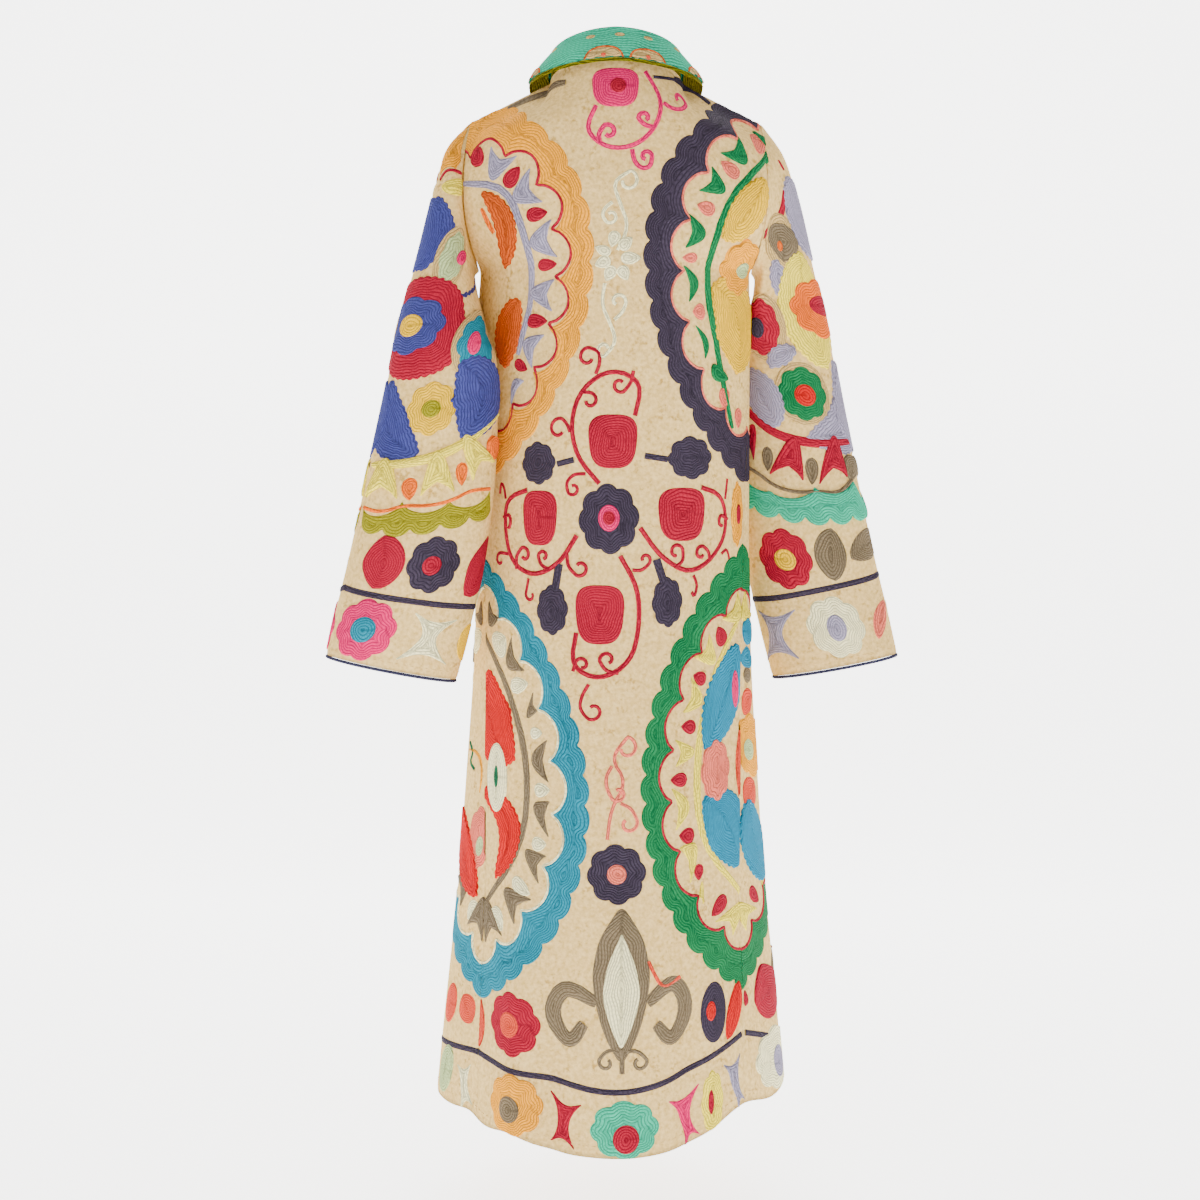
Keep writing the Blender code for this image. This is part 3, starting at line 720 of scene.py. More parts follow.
def lengths(points, axis):
    """Running length along a grid's rows or columns."""
    steps = np.linalg.norm(np.diff(points, axis=axis), axis=-1)
    pad = np.zeros_like(np.take(steps, [0], axis=axis))
    return np.concatenate([pad, np.cumsum(steps, axis=axis)], axis=axis)


FRAMES = collar_frames(97)
FALL_SHARES = np.concatenate([np.linspace(0, CROWN_SHARE, 6), np.linspace(CROWN_SHARE, 1, 13)[1:]])
COLLAR_POINTS, COLLAR_NORMALS = collar_grid("fall", FALL_SHARES, FRAMES)


def collar_piece(name, points, normals, material):
    flat = np.stack([lengths(points, 1), lengths(points, 0)], -1).reshape(-1, 2)
    made = shell(name, points, normals, material, flat, thickness=COLLAR_LAYER * 0.9)
    made.data.uv_layers[0].name = "stitch"
    return made


stand_points, stand_normals = collar_grid("stand", np.linspace(0, 1, 7), FRAMES)
PIECES["collar_stand"] = collar_piece("collar_stand_cloth", stand_points, stand_normals, THREAD["olive"])
PIECES["collar_fall"] = collar_piece("collar_fall_cloth", COLLAR_POINTS, COLLAR_NORMALS, THREAD["mint"])
under_points = COLLAR_POINTS[:, 6:].copy()
under_normals = COLLAR_NORMALS[:, 6:]
edge = under_points[:, -1] - under_points[:, -2]
under_points -= under_normals * (COLLAR_LAYER + 0.0006)
under_points[:, -1] += edge / np.linalg.norm(edge, axis=1, keepdims=True) * UNDER_PEEK
PIECES["collar_under"] = collar_piece("collar_under_cloth", under_points[5:-5], under_normals[5:-5],
                                      THREAD["olive"])
print("collar:", round(lengths(COLLAR_POINTS, 0)[-1, -1], 3), "m along its edge")

# %% [markdown]
# ## Cuff cord
#
# A dark blue cord is sewn round each cuff. It is a round tube here, and its material twists.

# %% Build the cords
CORD_RADIUS = 0.0019


def twisted(name, colour):
    """A two-ply cord's material: slanting grooves round the tube, with painted shade in them and a painted
    highlight on the plies.
    """
    material, tree, shader = blank(name)
    flat = node(tree, "ShaderNodeUVMap", uv_map="stitch")
    split = tree.nodes.new("ShaderNodeSeparateXYZ")
    tree.links.new(flat.socket, split.inputs[0])
    ply = (Sum(tree, split.outputs[0]) * 2.0 + Sum(tree, split.outputs[1]) / 0.0045).part()
    height = 1.0 - abs(ply * 2.0 - 1.0) ** 2.0
    # Painted shade and highlight: a darkened copy of the colour in the grooves and a lightened copy on the
    # plies.
    pale = tuple(c * 1.3 + 0.01 for c in colour)
    painted_shade_colour = tuple(c * 0.3 for c in colour)
    finished(shader, tree, mixed(tree, height, (*painted_shade_colour, 1), (*pale, 1)), 0.8, height, 0.0008)
    return material


NAVY = twisted("navy_cord", (0.035, 0.035, 0.075))


def tube(name, centre, out, down, radius, material, sides=10):
    """A closed round cord along a ring of points."""
    turns = np.linspace(0, 2 * math.pi, sides, endpoint=False)
    spokes = np.cos(turns)[None, :, None] * out[:, None] + np.sin(turns)[None, :, None] * down[:, None]
    points = centre[:, None] + radius * spokes
    count = len(centre)
    along = lengths(centre[:, None], 0)[:, 0]
    flat = np.stack(np.broadcast_arrays(turns[None, :] / (2 * math.pi), along[:, None]), -1)
    i, j = np.meshgrid(np.arange(count), np.arange(sides), indexing="ij")
    a, b, k = i * sides, (i + 1) % count * sides, (j + 1) % sides
    faces = np.stack([a + j, b + j, b + k, a + k], -1).reshape(-1, 4)
    return mesh_object(name, points.reshape(-1, 3), faces, [material], flat.reshape(-1, 2), "stitch")


for side in ("left", "right"):
    rings = CLOTHS[f"sleeve_{side}"].points[:, :-1]
    hang = rings[-1] - rings[-3]
    hang /= np.linalg.norm(hang, axis=1, keepdims=True)
    out = rings[-1] - rings[-1].mean(0)
    out -= hang * np.sum(out * hang, axis=1, keepdims=True)
    out /= np.linalg.norm(out, axis=1, keepdims=True)
    centre = rings[-1] - out * 0.0012 + hang * (CORD_RADIUS + 0.0003)
    PIECES[f"cuff_piping_{side}"] = tube(f"cuff_cord_{side}", centre, out, hang, CORD_RADIUS, NAVY)

# %% [markdown]
# ## Embroidery
#
# Each motif's outline comes from a formula and a few sizes in millimetres on its own panel: even arches
# on a bow, bent leaves, equal petals, curls that end in a round. It is filled with points and lifted onto
# the cloth. Its edge sinks into the ground and each point keeps its distance from the outline, so the
# stitch rows follow the outline inwards. Later motifs lie higher where they meet earlier ones.

# %% Draw outlines, fill them and lift them
EDGE_STEP = 0.0024
FILL_STEP = 0.0034
PAD_HEIGHT = 0.0009
LAYER_HEIGHT = 0.00045
SUNK = -0.0003
SLOPE = 0.0013
CURL_TURN = 4.4
CURL_END = 0.45
LEAF_POWER = 0.6
ROW_SHARE = 0.87
RIBBON_STEP = 0.0030
WIDE_RIBBON = 0.008
# How much fuller than its tabled width each kind of line or form is stitched.
ARC_FULL, CORD_FULL, VINE_FULL, DROP_FULL, WAIST_FULL = 1.35, 1.6, 1.25, 1.15, 1.5
VINE_TAPER, LEAST_DROP = 0.6, 3.5


def places(values):
    """Pairs of millimetres as flat places in metres."""
    return np.array(values, float).reshape(-1, 2) / 1000


def softened(points, closed, rounds=2):
    """A line with its corners cut, so that it bends softly."""
    for _ in range(rounds):
        after = np.roll(points, -1, axis=0) if closed else points[1:]
        before = points if closed else points[:-1]
        cut = np.stack([before * 0.75 + after * 0.25, before * 0.25 + after * 0.75], 1).reshape(-1, 2)
        points = cut if closed else np.concatenate([points[:1], cut[1:-1], points[-1:]])
    return points


def arches(points):
    """Round arches from notch to notch, over the tops between them."""
    turn = np.linspace(0, 1, 13)[:-1, None]
    parts = [a + (b - a) * turn + (top - (a + b) / 2) * np.sin(math.pi * turn) ** 0.6
             for a, top, b in zip(points[:-2:2], points[1:-1:2], points[2::2])]
    return np.concatenate([*parts, points[-1:]])


def running(line):
    """The length along a line up to each of its points."""
    return np.concatenate([[0], np.cumsum(np.linalg.norm(np.diff(line, axis=0), axis=1))])


def picked(line, run, at):
    """The points of a line at given lengths."""
    return np.stack([np.interp(at, run, line[:, k]) for k in (0, 1)], -1)


def leftward(way):
    """Unit steps to the left of each way."""
    side = np.stack([-way[:, 1], way[:, 0]], -1)
    return side / np.maximum(np.linalg.norm(side, axis=1, keepdims=True), 1e-9)


def scalloped(bow, count, high, inner=None):
    """A bow as even arches that stand away from the inner line, or from the bow's own chord."""
    spots = places(bow)
    at, fine = np.linspace(0, 1, len(spots)), np.linspace(0, 1, 80)
    line = np.stack([np.polyval(np.polyfit(at, spots[:, k], 3), fine) for k in (0, 1)], -1)
    run = running(line)
    notches = picked(line, run, np.linspace(0, run[-1], count + 1))
    middles, way = (notches[1:] + notches[:-1]) / 2, np.diff(notches, axis=0)
    out = np.stack([way[:, 1], -way[:, 0]], -1) / np.linalg.norm(way, axis=1, keepdims=True)
    base = (line[0] + line[-1]) / 2
    if inner is not None:
        base = places(inner).mean(0) - places(bow).mean(0) + middles
    out *= np.sign(((middles - base) * out).sum(1).sum())
    mixed = np.empty((2 * count + 1, 2))
    mixed[::2], mixed[1::2] = notches, middles + out * high / 1000
    return arches(mixed)


def leaf(tip_x, tip_y, middle_x, middle_y, end_x, end_y, half):
    """A bent leaf from tip to end through its middle."""
    share = np.linspace(0, 1, 17)[:, None]
    tip, middle, end = places((tip_x, tip_y, middle_x, middle_y, end_x, end_y))
    bend = 2 * middle - (tip + end) / 2
    line = tip * (1 - share) ** 2 + bend * 2 * share * (1 - share) + end * share ** 2
    side = leftward(np.gradient(line, axis=0))
    wide = side * half / 1000 * np.sin(math.pi * share) ** LEAF_POWER
    return np.concatenate([line + wide, (line - wide)[-2:0:-1]])


def bud(x, y, wide, high):
    """A pomegranate: a rounded square, broader at its top."""
    turn = np.linspace(0, 2 * math.pi, 48, endpoint=False)
    across, down = (np.sign(f(turn)) * np.abs(f(turn)) ** 0.65 for f in (np.cos, np.sin))
    return np.stack([x + wide * across * (1 - 0.10 * down), y + high * down], -1) / 1000


def profiled(top_x, top_y, end_x, end_y, half):
    """A symmetrical form on an upright axis, with its half widths at even levels."""
    level = np.linspace(top_y, end_y, len(half) + 2)
    reach = np.array((0, *half, 0))
    axis = np.linspace(top_x, end_x, len(half) + 2)
    right = np.stack([axis + reach, level], -1)
    left = np.stack([axis - reach, level], -1)
    return softened(np.concatenate([right, left[-2:0:-1]]) / 1000, True, 2)


def curled(values):
    """A stem that ends in a round about its last place."""
    *stem, middle = places(values)
    stem = softened(np.array(stem), False)
    way, across = stem[-1] - stem[-2], stem[-1] - middle
    sign = 1 if way[0] * -across[1] - way[1] * -across[0] > 0 else -1
    turn = math.atan2(across[1], across[0]) + sign * np.linspace(0, CURL_TURN, 16)[1:]
    radius = np.linalg.norm(across) * np.linspace(1, CURL_END, 16)[1:]
    return np.concatenate([stem, middle + np.stack([np.cos(turn), np.sin(turn)], -1) * radius[:, None]])


def stepped(points, closed, step):
    """The same line in even steps, and its length up to each of them."""
    if closed:
        points = np.concatenate([points, points[:1]])
    run = running(points)
    at = np.linspace(0, run[-1], max(int(run[-1] / step), 6) + 1)
    line = picked(points, run, at)
    return (line[:-1], at[:-1]) if closed else (line, at)


def distance(points, line):
    """How far each point is from a closed line, and which corner of the line comes before it."""
    after = np.roll(line, -1, axis=0) - line
    size = np.maximum((after ** 2).sum(1), 1e-12)
    away = points[:, None] - line[None]
    share = np.clip((away * after[None]).sum(2) / size, 0, 1)
    gap = np.linalg.norm(away - share[..., None] * after[None], axis=2)
    nearest = gap.argmin(1)
    return gap[np.arange(len(points)), nearest], nearest


def inside(points, line):
    """Whether points lie within a closed line."""
    x, y = points[:, :1], points[:, 1:]
    ax, ay = line[:, 0], line[:, 1]
    bx, by = np.roll(ax, -1), np.roll(ay, -1)
    cross = (ay > y) != (by > y)
    level = np.where(by == ay, 1e-12, by - ay)
    return (cross & (x < ax + (y - ay) / level * (bx - ax))).sum(1) % 2 == 1


class Embroidery:
    """All the stitched motifs of one panel, gathered into one mesh."""

    def __init__(self, cloth):
        self.cloth = cloth
        self.points, self.faces, self.flat, self.threads = [], [], [], []
        self.count = 0
        self.laid = []

    def layer(self, outline):
        """One more than the highest layer that an outline meets."""
        met = [layer for other, layer in self.laid
               if inside(outline, other).any() or inside(other, outline).any()]
        made = max(met, default=-1) + 1
        self.laid.append((outline, made))
        return made

    def add(self, spots, faces, height, flat, thread_name):
        """Adds faces given at flat places, without those that are off the panel."""
        on_panel = self.cloth.on_it(spots[:, 0], spots[:, 1])
        faces = faces[on_panel[faces].any(1)]
        if not len(faces):
            return
        points = self.cloth.at(spots[:, 0], spots[:, 1], height)
        out = self.cloth.at(spots[:, 0], spots[:, 1], height + 0.01) - points
        a, b, c = (points[faces[:, k]] for k in (0, 1, 2))
        back_to_front = (np.cross(b - a, c - a) * out[faces[:, 0]]).sum(1) < 0
        faces[back_to_front] = faces[back_to_front][:, ::-1]
        self.points.append(points)
        self.faces.append(faces + self.count)
        self.flat.append(flat)
        self.threads.append(np.full(len(faces), THREAD_NUMBER[thread_name]))
        self.count += len(points)

    def patch(self, outline, thread_name):
        """A filled motif."""
        line, run = stepped(outline, True, EDGE_STEP)
        low, high = line.min(0), line.max(0)
        x, y = np.meshgrid(np.arange(low[0], high[0], FILL_STEP),
                           np.arange(low[1], high[1], FILL_STEP * ROW_SHARE))
        x[1::2] += FILL_STEP / 2
        grid = np.stack([x.ravel(), y.ravel()], -1)
        side = leftward(np.roll(line, -1, axis=0) - np.roll(line, 1, axis=0))
        filling = np.concatenate([line + side * SLOPE, line - side * SLOPE, grid])
        filling = filling[inside(filling, line)]
        gap, _ = distance(filling, line)
        near = np.arange(len(filling)) < len(filling) - inside(grid, line).sum()
        filling = filling[np.where(near, gap > SLOPE * 0.8, gap > SLOPE * 1.8)]
        count = len(line)
        edges = [(i, (i + 1) % count) for i in range(count)]
        every = [Vector(p) for p in (np.concatenate([line, filling]) * 1000).tolist()]
        found, _, faces = delaunay_2d_cdt(every, edges, [], 1, 1e-4)[:3]
        spots = np.array([tuple(p) for p in found]) / 1000
        faces = np.array([f for f in faces if len(f) == 3], int).reshape(-1, 3)
        gap, nearest = distance(spots, line)
        top = PAD_HEIGHT + self.layer(line[::3]) * LAYER_HEIGHT
        rise = np.clip(gap / SLOPE, 0, 1)
        height = SUNK + (top - SUNK) * (1 - (1 - rise) ** 2)
        self.add(spots, faces, height, np.stack([gap, run[nearest]], -1), thread_name)

    def ribbon(self, line, width, thread_name, ends=1.0):
        """A stitched line. Its ends taper to a share of its width."""
        line, run = stepped(line, False, RIBBON_STEP)
        side = leftward(np.gradient(line, axis=0))
        share = np.linspace(0, 1, len(line))
        wide = width / 2 * (ends + (1 - ends) * np.sin(math.pi * share) ** 0.6)
        columns = np.array((-1, -0.62, 0, 0.62, 1)) if width < WIDE_RIBBON else np.linspace(-1, 1, 9)
        spots = line[:, None] + side[:, None] * wide[:, None, None] * columns[None, :, None]
        top = PAD_HEIGHT + self.layer(np.concatenate([spots[::2, 0], spots[::-2, -1]])) * LAYER_HEIGHT
        rise = (1 - np.abs(columns) ** 3) * np.ones((len(line), 1))
        height = SUNK + (top - SUNK) * rise
        flat = np.stack(np.broadcast_arrays((1 - np.abs(columns)[None]) * wide[:, None], run[:, None]), -1)
        four = quads(len(line), len(columns))
        faces = np.concatenate([four[:, [0, 1, 2]], four[:, [0, 2, 3]]])
        self.add(spots.reshape(-1, 2), faces, height.ravel(), flat.reshape(-1, 2), thread_name)

    def finish(self, name):
        """The mesh object, with only the threads that it uses."""
        used, numbers = np.unique(np.concatenate(self.threads), return_inverse=True)
        names = list(THREADS)
        materials = [THREAD[names[k]] for k in used]
        made = mesh_object(name, np.concatenate(self.points), np.concatenate(self.faces), materials,
                           np.concatenate(self.flat), "stitch")
        made.data.polygons.foreach_set("material_index", numbers.astype(np.int32))
        return made


def rosette(x, y, wide, high, lobes=8):
    """A flower's outline with round petals."""
    turn = np.linspace(0, 2 * math.pi, 12 * lobes, endpoint=False)
    reach = 0.90 + 0.12 * np.abs(np.sin(lobes * turn / 2)) ** 0.8
    return np.stack([x + wide * reach * np.cos(turn + 0.3), y + high * reach * np.sin(turn + 0.3)], -1) / 1000


def disc(x, y, wide, high):
    turn = np.linspace(0, 2 * math.pi, 40, endpoint=False)
    return np.stack([x + wide * np.cos(turn), y + high * np.sin(turn)], -1) / 1000


def drop(tip_x, tip_y, end_x, end_y, half):
    """A drop that is pointed at its tip and round at its end."""
    share = np.linspace(0, 1, 15)
    tip, end = np.array((tip_x, tip_y)) / 1000, np.array((end_x, end_y)) / 1000
    along = end - tip
    side = np.array((-along[1], along[0])) / max(np.linalg.norm(along), 1e-9)
    wide = half / 1000 * 2.6 * share ** 0.8 * np.sqrt(1 - share)
    middle = tip + along * share[:, None]
    return np.concatenate([middle + side * wide[:, None], (middle - side * wide[:, None])[-2:0:-1]])


def two_leaves(stem, first, second):
    """A pair of leaves that part from one stem."""
    middle = (first + second) / 2
    fork = stem + (middle - stem) * 0.60
    line = []
    for tip, turned in ((first, False), (second, True)):
        away = tip - middle
        leaf = [stem - (middle - stem) * 0.35 + away * 0.30, stem + (tip - stem) * 0.40 + away * 0.42,
                tip + away * 0.12, tip + away * 0.06, stem + (tip - stem) * 0.78 - away * 0.12, fork]
        line += leaf[::-1] if turned else leaf
    return softened(np.array(line), True, 2)


def crossed(corners, waist, width):
    """Two fish tails back to back: four pointed tips round a narrow waist."""
    one, two, three, four = corners
    up, down = (one + two) / 2, (three + four) / 2
    half = (two - one) / max(np.linalg.norm(two - one), 1e-9) * width / 2
    line = [one, one, one + (waist - one) * 0.5 + (up - one) * 0.05, waist - half,
            three + (waist - three) * 0.5, three, three, waist + (down - waist) * 0.55,
            four, four, four + (waist - four) * 0.5, waist + half,
            two + (waist - two) * 0.5, two, two, waist + (up - waist) * 0.55]
    return softened(np.array(line), True, 2)


def combed(outline, reach=0.0026, tooth=0.0095):
    """An outline with rounded teeth, like the fingers of a feather."""
    line, run = stepped(outline, True, 0.0012)
    side = -leftward(np.roll(line, -1, axis=0) - np.roll(line, 1, axis=0))
    x, y = line[:, 0], line[:, 1]
    turning = np.sign(np.sum(x * np.roll(y, -1) - np.roll(x, -1) * y))
    count = max(round(run[-1] / tooth), 5)
    wave = np.abs(np.sin(math.pi * count * run / (run[-1] + 0.0012))) ** 0.7 - 0.4
    return line + side * (turning * reach * wave)[:, None]


def rim(values, width, inner):
    """A band between two scalloped bows, and the corners that close it where there are any."""
    inner, *corners = inner
    base = 2 * places(inner).mean(0) - places(values).mean(0)
    outer = scalloped(values, *width[:2], inner)
    nearer = scalloped(inner, *width[2:], (base * 1000).tolist())
    return np.concatenate([outer, nearer[::-1], *[places(more) for more in corners]])


def cross(values, width):
    corners = places(values)
    return crossed(corners[:4], corners[4], width * WAIST_FULL / 1000)


# The outline of each filled kind, and the line, width and taper of each stitched line.
FILLED = {
    "rim": rim,
    "patch": lambda values, width, inner: softened(places(values), True),
    "feather": lambda values, width, inner: combed(leaf(*values, width)),
    "leaf": lambda values, width, inner: leaf(*values, width),
    "bud": lambda values, width, inner: bud(*values),
    "profile": lambda values, width, inner: profiled(*values, width),
    "rose": lambda values, width, inner: rosette(*values),
    "round": lambda values, width, inner: disc(*values),
    "drop": lambda values, width, inner: drop(*values, max(width * DROP_FULL, LEAST_DROP)),
    "fish": lambda values, width, inner: two_leaves(*places(values)),
    "cross": lambda values, width, inner: cross(values, width),
}
LINES = {
    "arcs": lambda values, width: (scalloped(values, *width[1:]), width[0] * ARC_FULL, 1.0),
    "curl": lambda values, width: (curled(values), width * CORD_FULL, 1.0),
    "cord": lambda values, width: (softened(places(values), False), width * CORD_FULL, 1.0),
    "vine": lambda values, width: (softened(places(values), False), width * VINE_FULL, VINE_TAPER),
}


def stitched(cloth, table):
    """All motifs of a panel's table. Millimetres: kind, thread, width, places along it."""
    work = Embroidery(cloth)
    for kind, thread_name, width, values, *inner in table:
        if kind in FILLED:
            work.patch(FILLED[kind](values, width, inner), thread_name)
        else:
            line, wide, taper = LINES[kind](values, width)
            work.ribbon(line, wide / 1000, thread_name, taper)
    return work


def each(kind, thread_name, *rows):
    """Rows of one kind and thread, each given by its width and its places."""
    return [(kind, thread_name, width, tuple(values)) for width, *values in rows]


BACK_UPPER_LEFT = (
    ("rim", "amber", (16, 7, 9, 22),
     (-213, 56, -69, 121, -30, 255, -75, 399, -181, 491),
     (-234, 146, -113, 138, -71, 241, -100, 367, -191, 427), (-235, 150, -235, 70, -170, 40)),
    ("arcs", "crimson", (3, 9, 22), (-233, 145, -114, 137, -72, 237, -98, 362, -183, 428)),
    *each("drop", "crimson", (9, -169, 112, -174, 137), (8, -112, 140, -132, 163), (7, -78, 193, -106, 197),
          (6, -69, 251, -96, 252), (7, -81, 315, -113, 314), (6, -110, 370, -132, 360)),
    ("vine", "lilac", 9, (-193, 154, -129, 161, -106, 224, -104, 289, -126, 352)),
    *each("fish", "lilac", (9, -146, 145, -150, 113, -116, 126), (9, -114, 173, -98, 143, -84, 180),
          (9, -95, 226, -73, 202, -68, 242), (9, -98, 283, -71, 269, -74, 304),
          (9, -111, 341, -85, 332, -102, 368), (9, -132, 386, -116, 384, -136, 411)),
    ("feather", "rust", 14, (-165, 166, -134, 205, -149, 252)),
    ("vine", "orange", 6, (-165, 185, -161, 192, -158, 199, -154, 206, -150, 213)),
    ("feather", "rust", 23, (-124, 288, -144, 325, -147, 367)),
)
BACK_UPPER_RIGHT = (
    ("rim", "charcoal", (18, 8, 9, 21),
     (207, 47, 71, 125, 39, 263, 90, 404, 201, 496), (259, 86, 128, 121, 83, 237, 112, 365, 204, 433),
     (235, 120, 235, 60, 170, 40)),
    ("arcs", "salmon", (3, 9, 21), (259, 86, 128, 121, 83, 237, 112, 365, 204, 433)),
    *each("drop", "salmon", (14, 183, 92, 198, 114), (7, 123, 132, 149, 149), (7, 94, 183, 118, 190),
          (5, 79, 243, 101, 242), (8, 95, 303, 116, 302), (8, 149, 413, 149, 387), (7, 179, 436, 179, 410)),
    ("vine", "leaf_green", 9, (213, 108, 133, 169, 114, 264, 139, 360, 165, 435)),
    *each("patch", "leaf_green", (0, 208, 111, 188, 130, 214, 126), (0, 125, 354, 125, 383, 165, 381)),
    *each("fish", "leaf_green", (9, 213, 108, 191, 85, 226, 89), (9, 153, 127, 147, 100, 122, 121),
          (9, 123, 163, 110, 138, 95, 166), (9, 101, 215, 82, 194, 81, 231), (9, 99, 270, 81, 252, 89, 292),
          (9, 117, 336, 98, 318, 114, 356)),
    *each("feather", "yellow", (24, 187, 146, 163, 186, 131, 219), (45, 126, 271, 171, 311, 174, 371)),
    ("rose", "amber", 0, (171, 249, 33, 32)),
    ("round", "pale_mint", 0, (181, 250, 15, 11)),
)
BACK_NECK = (
    ("vine", "taupe", 10, (-165, 60, -142, 48, -116, 43, -90, 39, -64, 40)),
    ("vine", "charcoal", 10, (80, 32, 101, 33, 121, 33, 141, 35, 150, 54)),
    ("cord", "charcoal", 3, (44, 35, 80, 33)),
    ("bud", "hot_pink", 0, (-1, 50, 27, 24)),
    ("round", "crimson", 0, (2, 48, 10, 10)),
    ("cord", "hot_pink", 4, (-23, 72, -36, 101, -10, 123, 24, 119, 48, 93, 53, 59, 34, 29)),
    *each("curl", "hot_pink", (4, -19, 115, -20, 104, -13, 95, -9, 103),
          (4, 43, 97, 32, 95, 25, 87, 32, 86), (4, 18, 123, 20, 136, 28, 145, 39, 143, 41, 130, 34, 131),
          (4, 55, 67, 65, 74, 77, 74, 87, 67, 80, 60)),
    *each("curl", "cream", (3, 2, 237, 15, 211, 5, 185, -4, 160, 17, 147, 13, 159),
          (3, -4, 183, -12, 189, -16, 198, -10, 206, -6, 199),
          (3, -12, 274, -16, 297, -6, 318, 2, 340, -13, 357, -12, 348),
          (3, -1, 315, 8, 307, 12, 296, 3, 294)),
    *each("drop", "cream", (6, -5, 234, 1, 215), (6, 19, 222, 4, 236), (6, 30, 245, 5, 246),
          (6, 14, 271, 5, 254), (6, -11, 272, -2, 254), (6, -24, 254, -5, 247), (5, -24, 233, -5, 241)),
)
BACK_CENTRE = (
    ("rose", "charcoal", 0, (-6, 540, 35, 40)),
    ("round", "hot_pink", 0, (-6, 539, 13, 16)),
    ("round", "crimson", 0, (-6, 539, 8, 9)),
    *each("bud", "crimson", (0, -2, 452, 28, 31), (0, -92, 540, 24, 32), (0, 84, 535, 32, 31),
          (0, -16, 649, 28, 34)),
    *each("rose", "charcoal", (0, -94, 477, 24, 25), (0, 95, 470, 32, 25), (0, -74, 645, 21, 29),
          (0, 64, 635, 20, 29)),
    *each("cord", "charcoal", (5, -68, 478, -47, 473), (5, 63, 472, 35, 468), (7, -70, 622, -65, 592),
          (7, 59, 612, 50, 586)),
    ("cord", "crimson", 4, (23, 423, 32, 385, -3, 369, -38, 391, -52, 429, -44, 470, -17, 500)),
    *each("curl", "crimson", (3, -22, 376, -17, 364, -18, 350, -30, 346, -31, 357),
          (3, 21, 372, 19, 385, 10, 396, 6, 388), (3, -39, 396, -27, 397, -29, 406),
          (3, -52, 442, -55, 433, -62, 426, -66, 438),
          (3, -33, 489, -47, 489, -57, 499, -54, 511, -48, 506)),
    ("cord", "crimson", 4, (-43, 559, -64, 592, -99, 608, -134, 594, -147, 557, -145, 518, -109, 508)),
    *each("curl", "crimson", (3, -140, 583, -155, 582, -156, 590),
          (3, -126, 600, -127, 585, -118, 575, -114, 583), (3, -77, 599, -89, 595, -93, 584, -86, 584)),
    *each("cord", "crimson", (3, -146, 519, -149, 505, -155, 499, -157, 513),
          (3, -149, 540, -138, 536, -136, 548, -140, 553)),
    *each("curl", "crimson", (3, -55, 581, -54, 595, -43, 605, -39, 596),
          (3, -108, 610, -111, 624, -105, 629)),
    ("cord", "crimson", 4, (30, 550, 55, 584, 93, 604, 131, 586, 156, 554, 147, 513, 110, 504)),
    *each("curl", "crimson", (3, 72, 596, 85, 589, 84, 575, 75, 578),
          (3, 124, 589, 123, 578, 114, 572, 111, 580), (3, 100, 605, 106, 616, 103, 627, 100, 626)),
    *each("cord", "crimson", (3, 152, 518, 156, 494), (3, 156, 541, 142, 535, 139, 547, 146, 549),
          (3, 145, 582, 156, 575, 161, 588),
          (4, 7, 582, 28, 618, 30, 662, 20, 703, -16, 724, -50, 708, -43, 670)),
    *each("curl", "crimson", (3, -47, 714, -43, 702, -36, 706), (3, 6, 715, -9, 713, -16, 701, -7, 700),
          (3, -28, 728, -36, 741, -39, 756, -29, 767, -23, 758), (3, 21, 598, 32, 599, 41, 591, 36, 586)),
    ("rose", "amber", 0, (178, 536, 14, 39)),
    ("round", "crimson", 0, (180, 536, 6, 13)),
)
BACK_LOWER_LEFT = (
    ("rim", "teal", (20, 7, 9, 20),
     (-236, 579, -100, 673, -35, 829, -60, 991, -194, 1101),
     (-210, 627, -115, 716, -73, 845, -99, 972, -211, 1054), (-260, 640, -260, 560)),
    ("arcs", "cream", (3, 9, 20), (-210, 627, -115, 716, -73, 845, -99, 972, -211, 1054)),
    *each("drop", "cream", (14, -145, 679, -167, 697), (8, -107, 731, -136, 737), (6, -85, 786, -104, 788),
          (7, -74, 850, -96, 852), (7, -78, 912, -98, 913), (8, -98, 971, -128, 957),
          (11, -144, 1019, -166, 996)),
    ("vine", "taupe", 9, (-206, 665, -139, 734, -104, 824, -111, 921, -178, 991)),
    *each("fish", "taupe", (9, -175, 664, -178, 639, -156, 656), (9, -138, 709, -133, 679, -113, 715),
          (9, -106, 764, -98, 736, -92, 760), (9, -95, 818, -78, 795, -75, 841),
          (9, -91, 875, -74, 865, -74, 905), (9, -101, 928, -78, 927, -86, 959),
          (9, -133, 976, -96, 978, -120, 1008), (9, -174, 999, -145, 1027, -177, 1040)),
    *each("feather", "red", (40, -176, 720, -171, 780, -126, 821), (19, -192, 861, -135, 898, -160, 961)),
    ("round", "amber", 0, (-199, 752, 12, 26)),
    ("round", "cream", 0, (-157, 844, 19, 41)),
    ("round", "dark_green", 0, (-157, 843, 5, 14)),
)
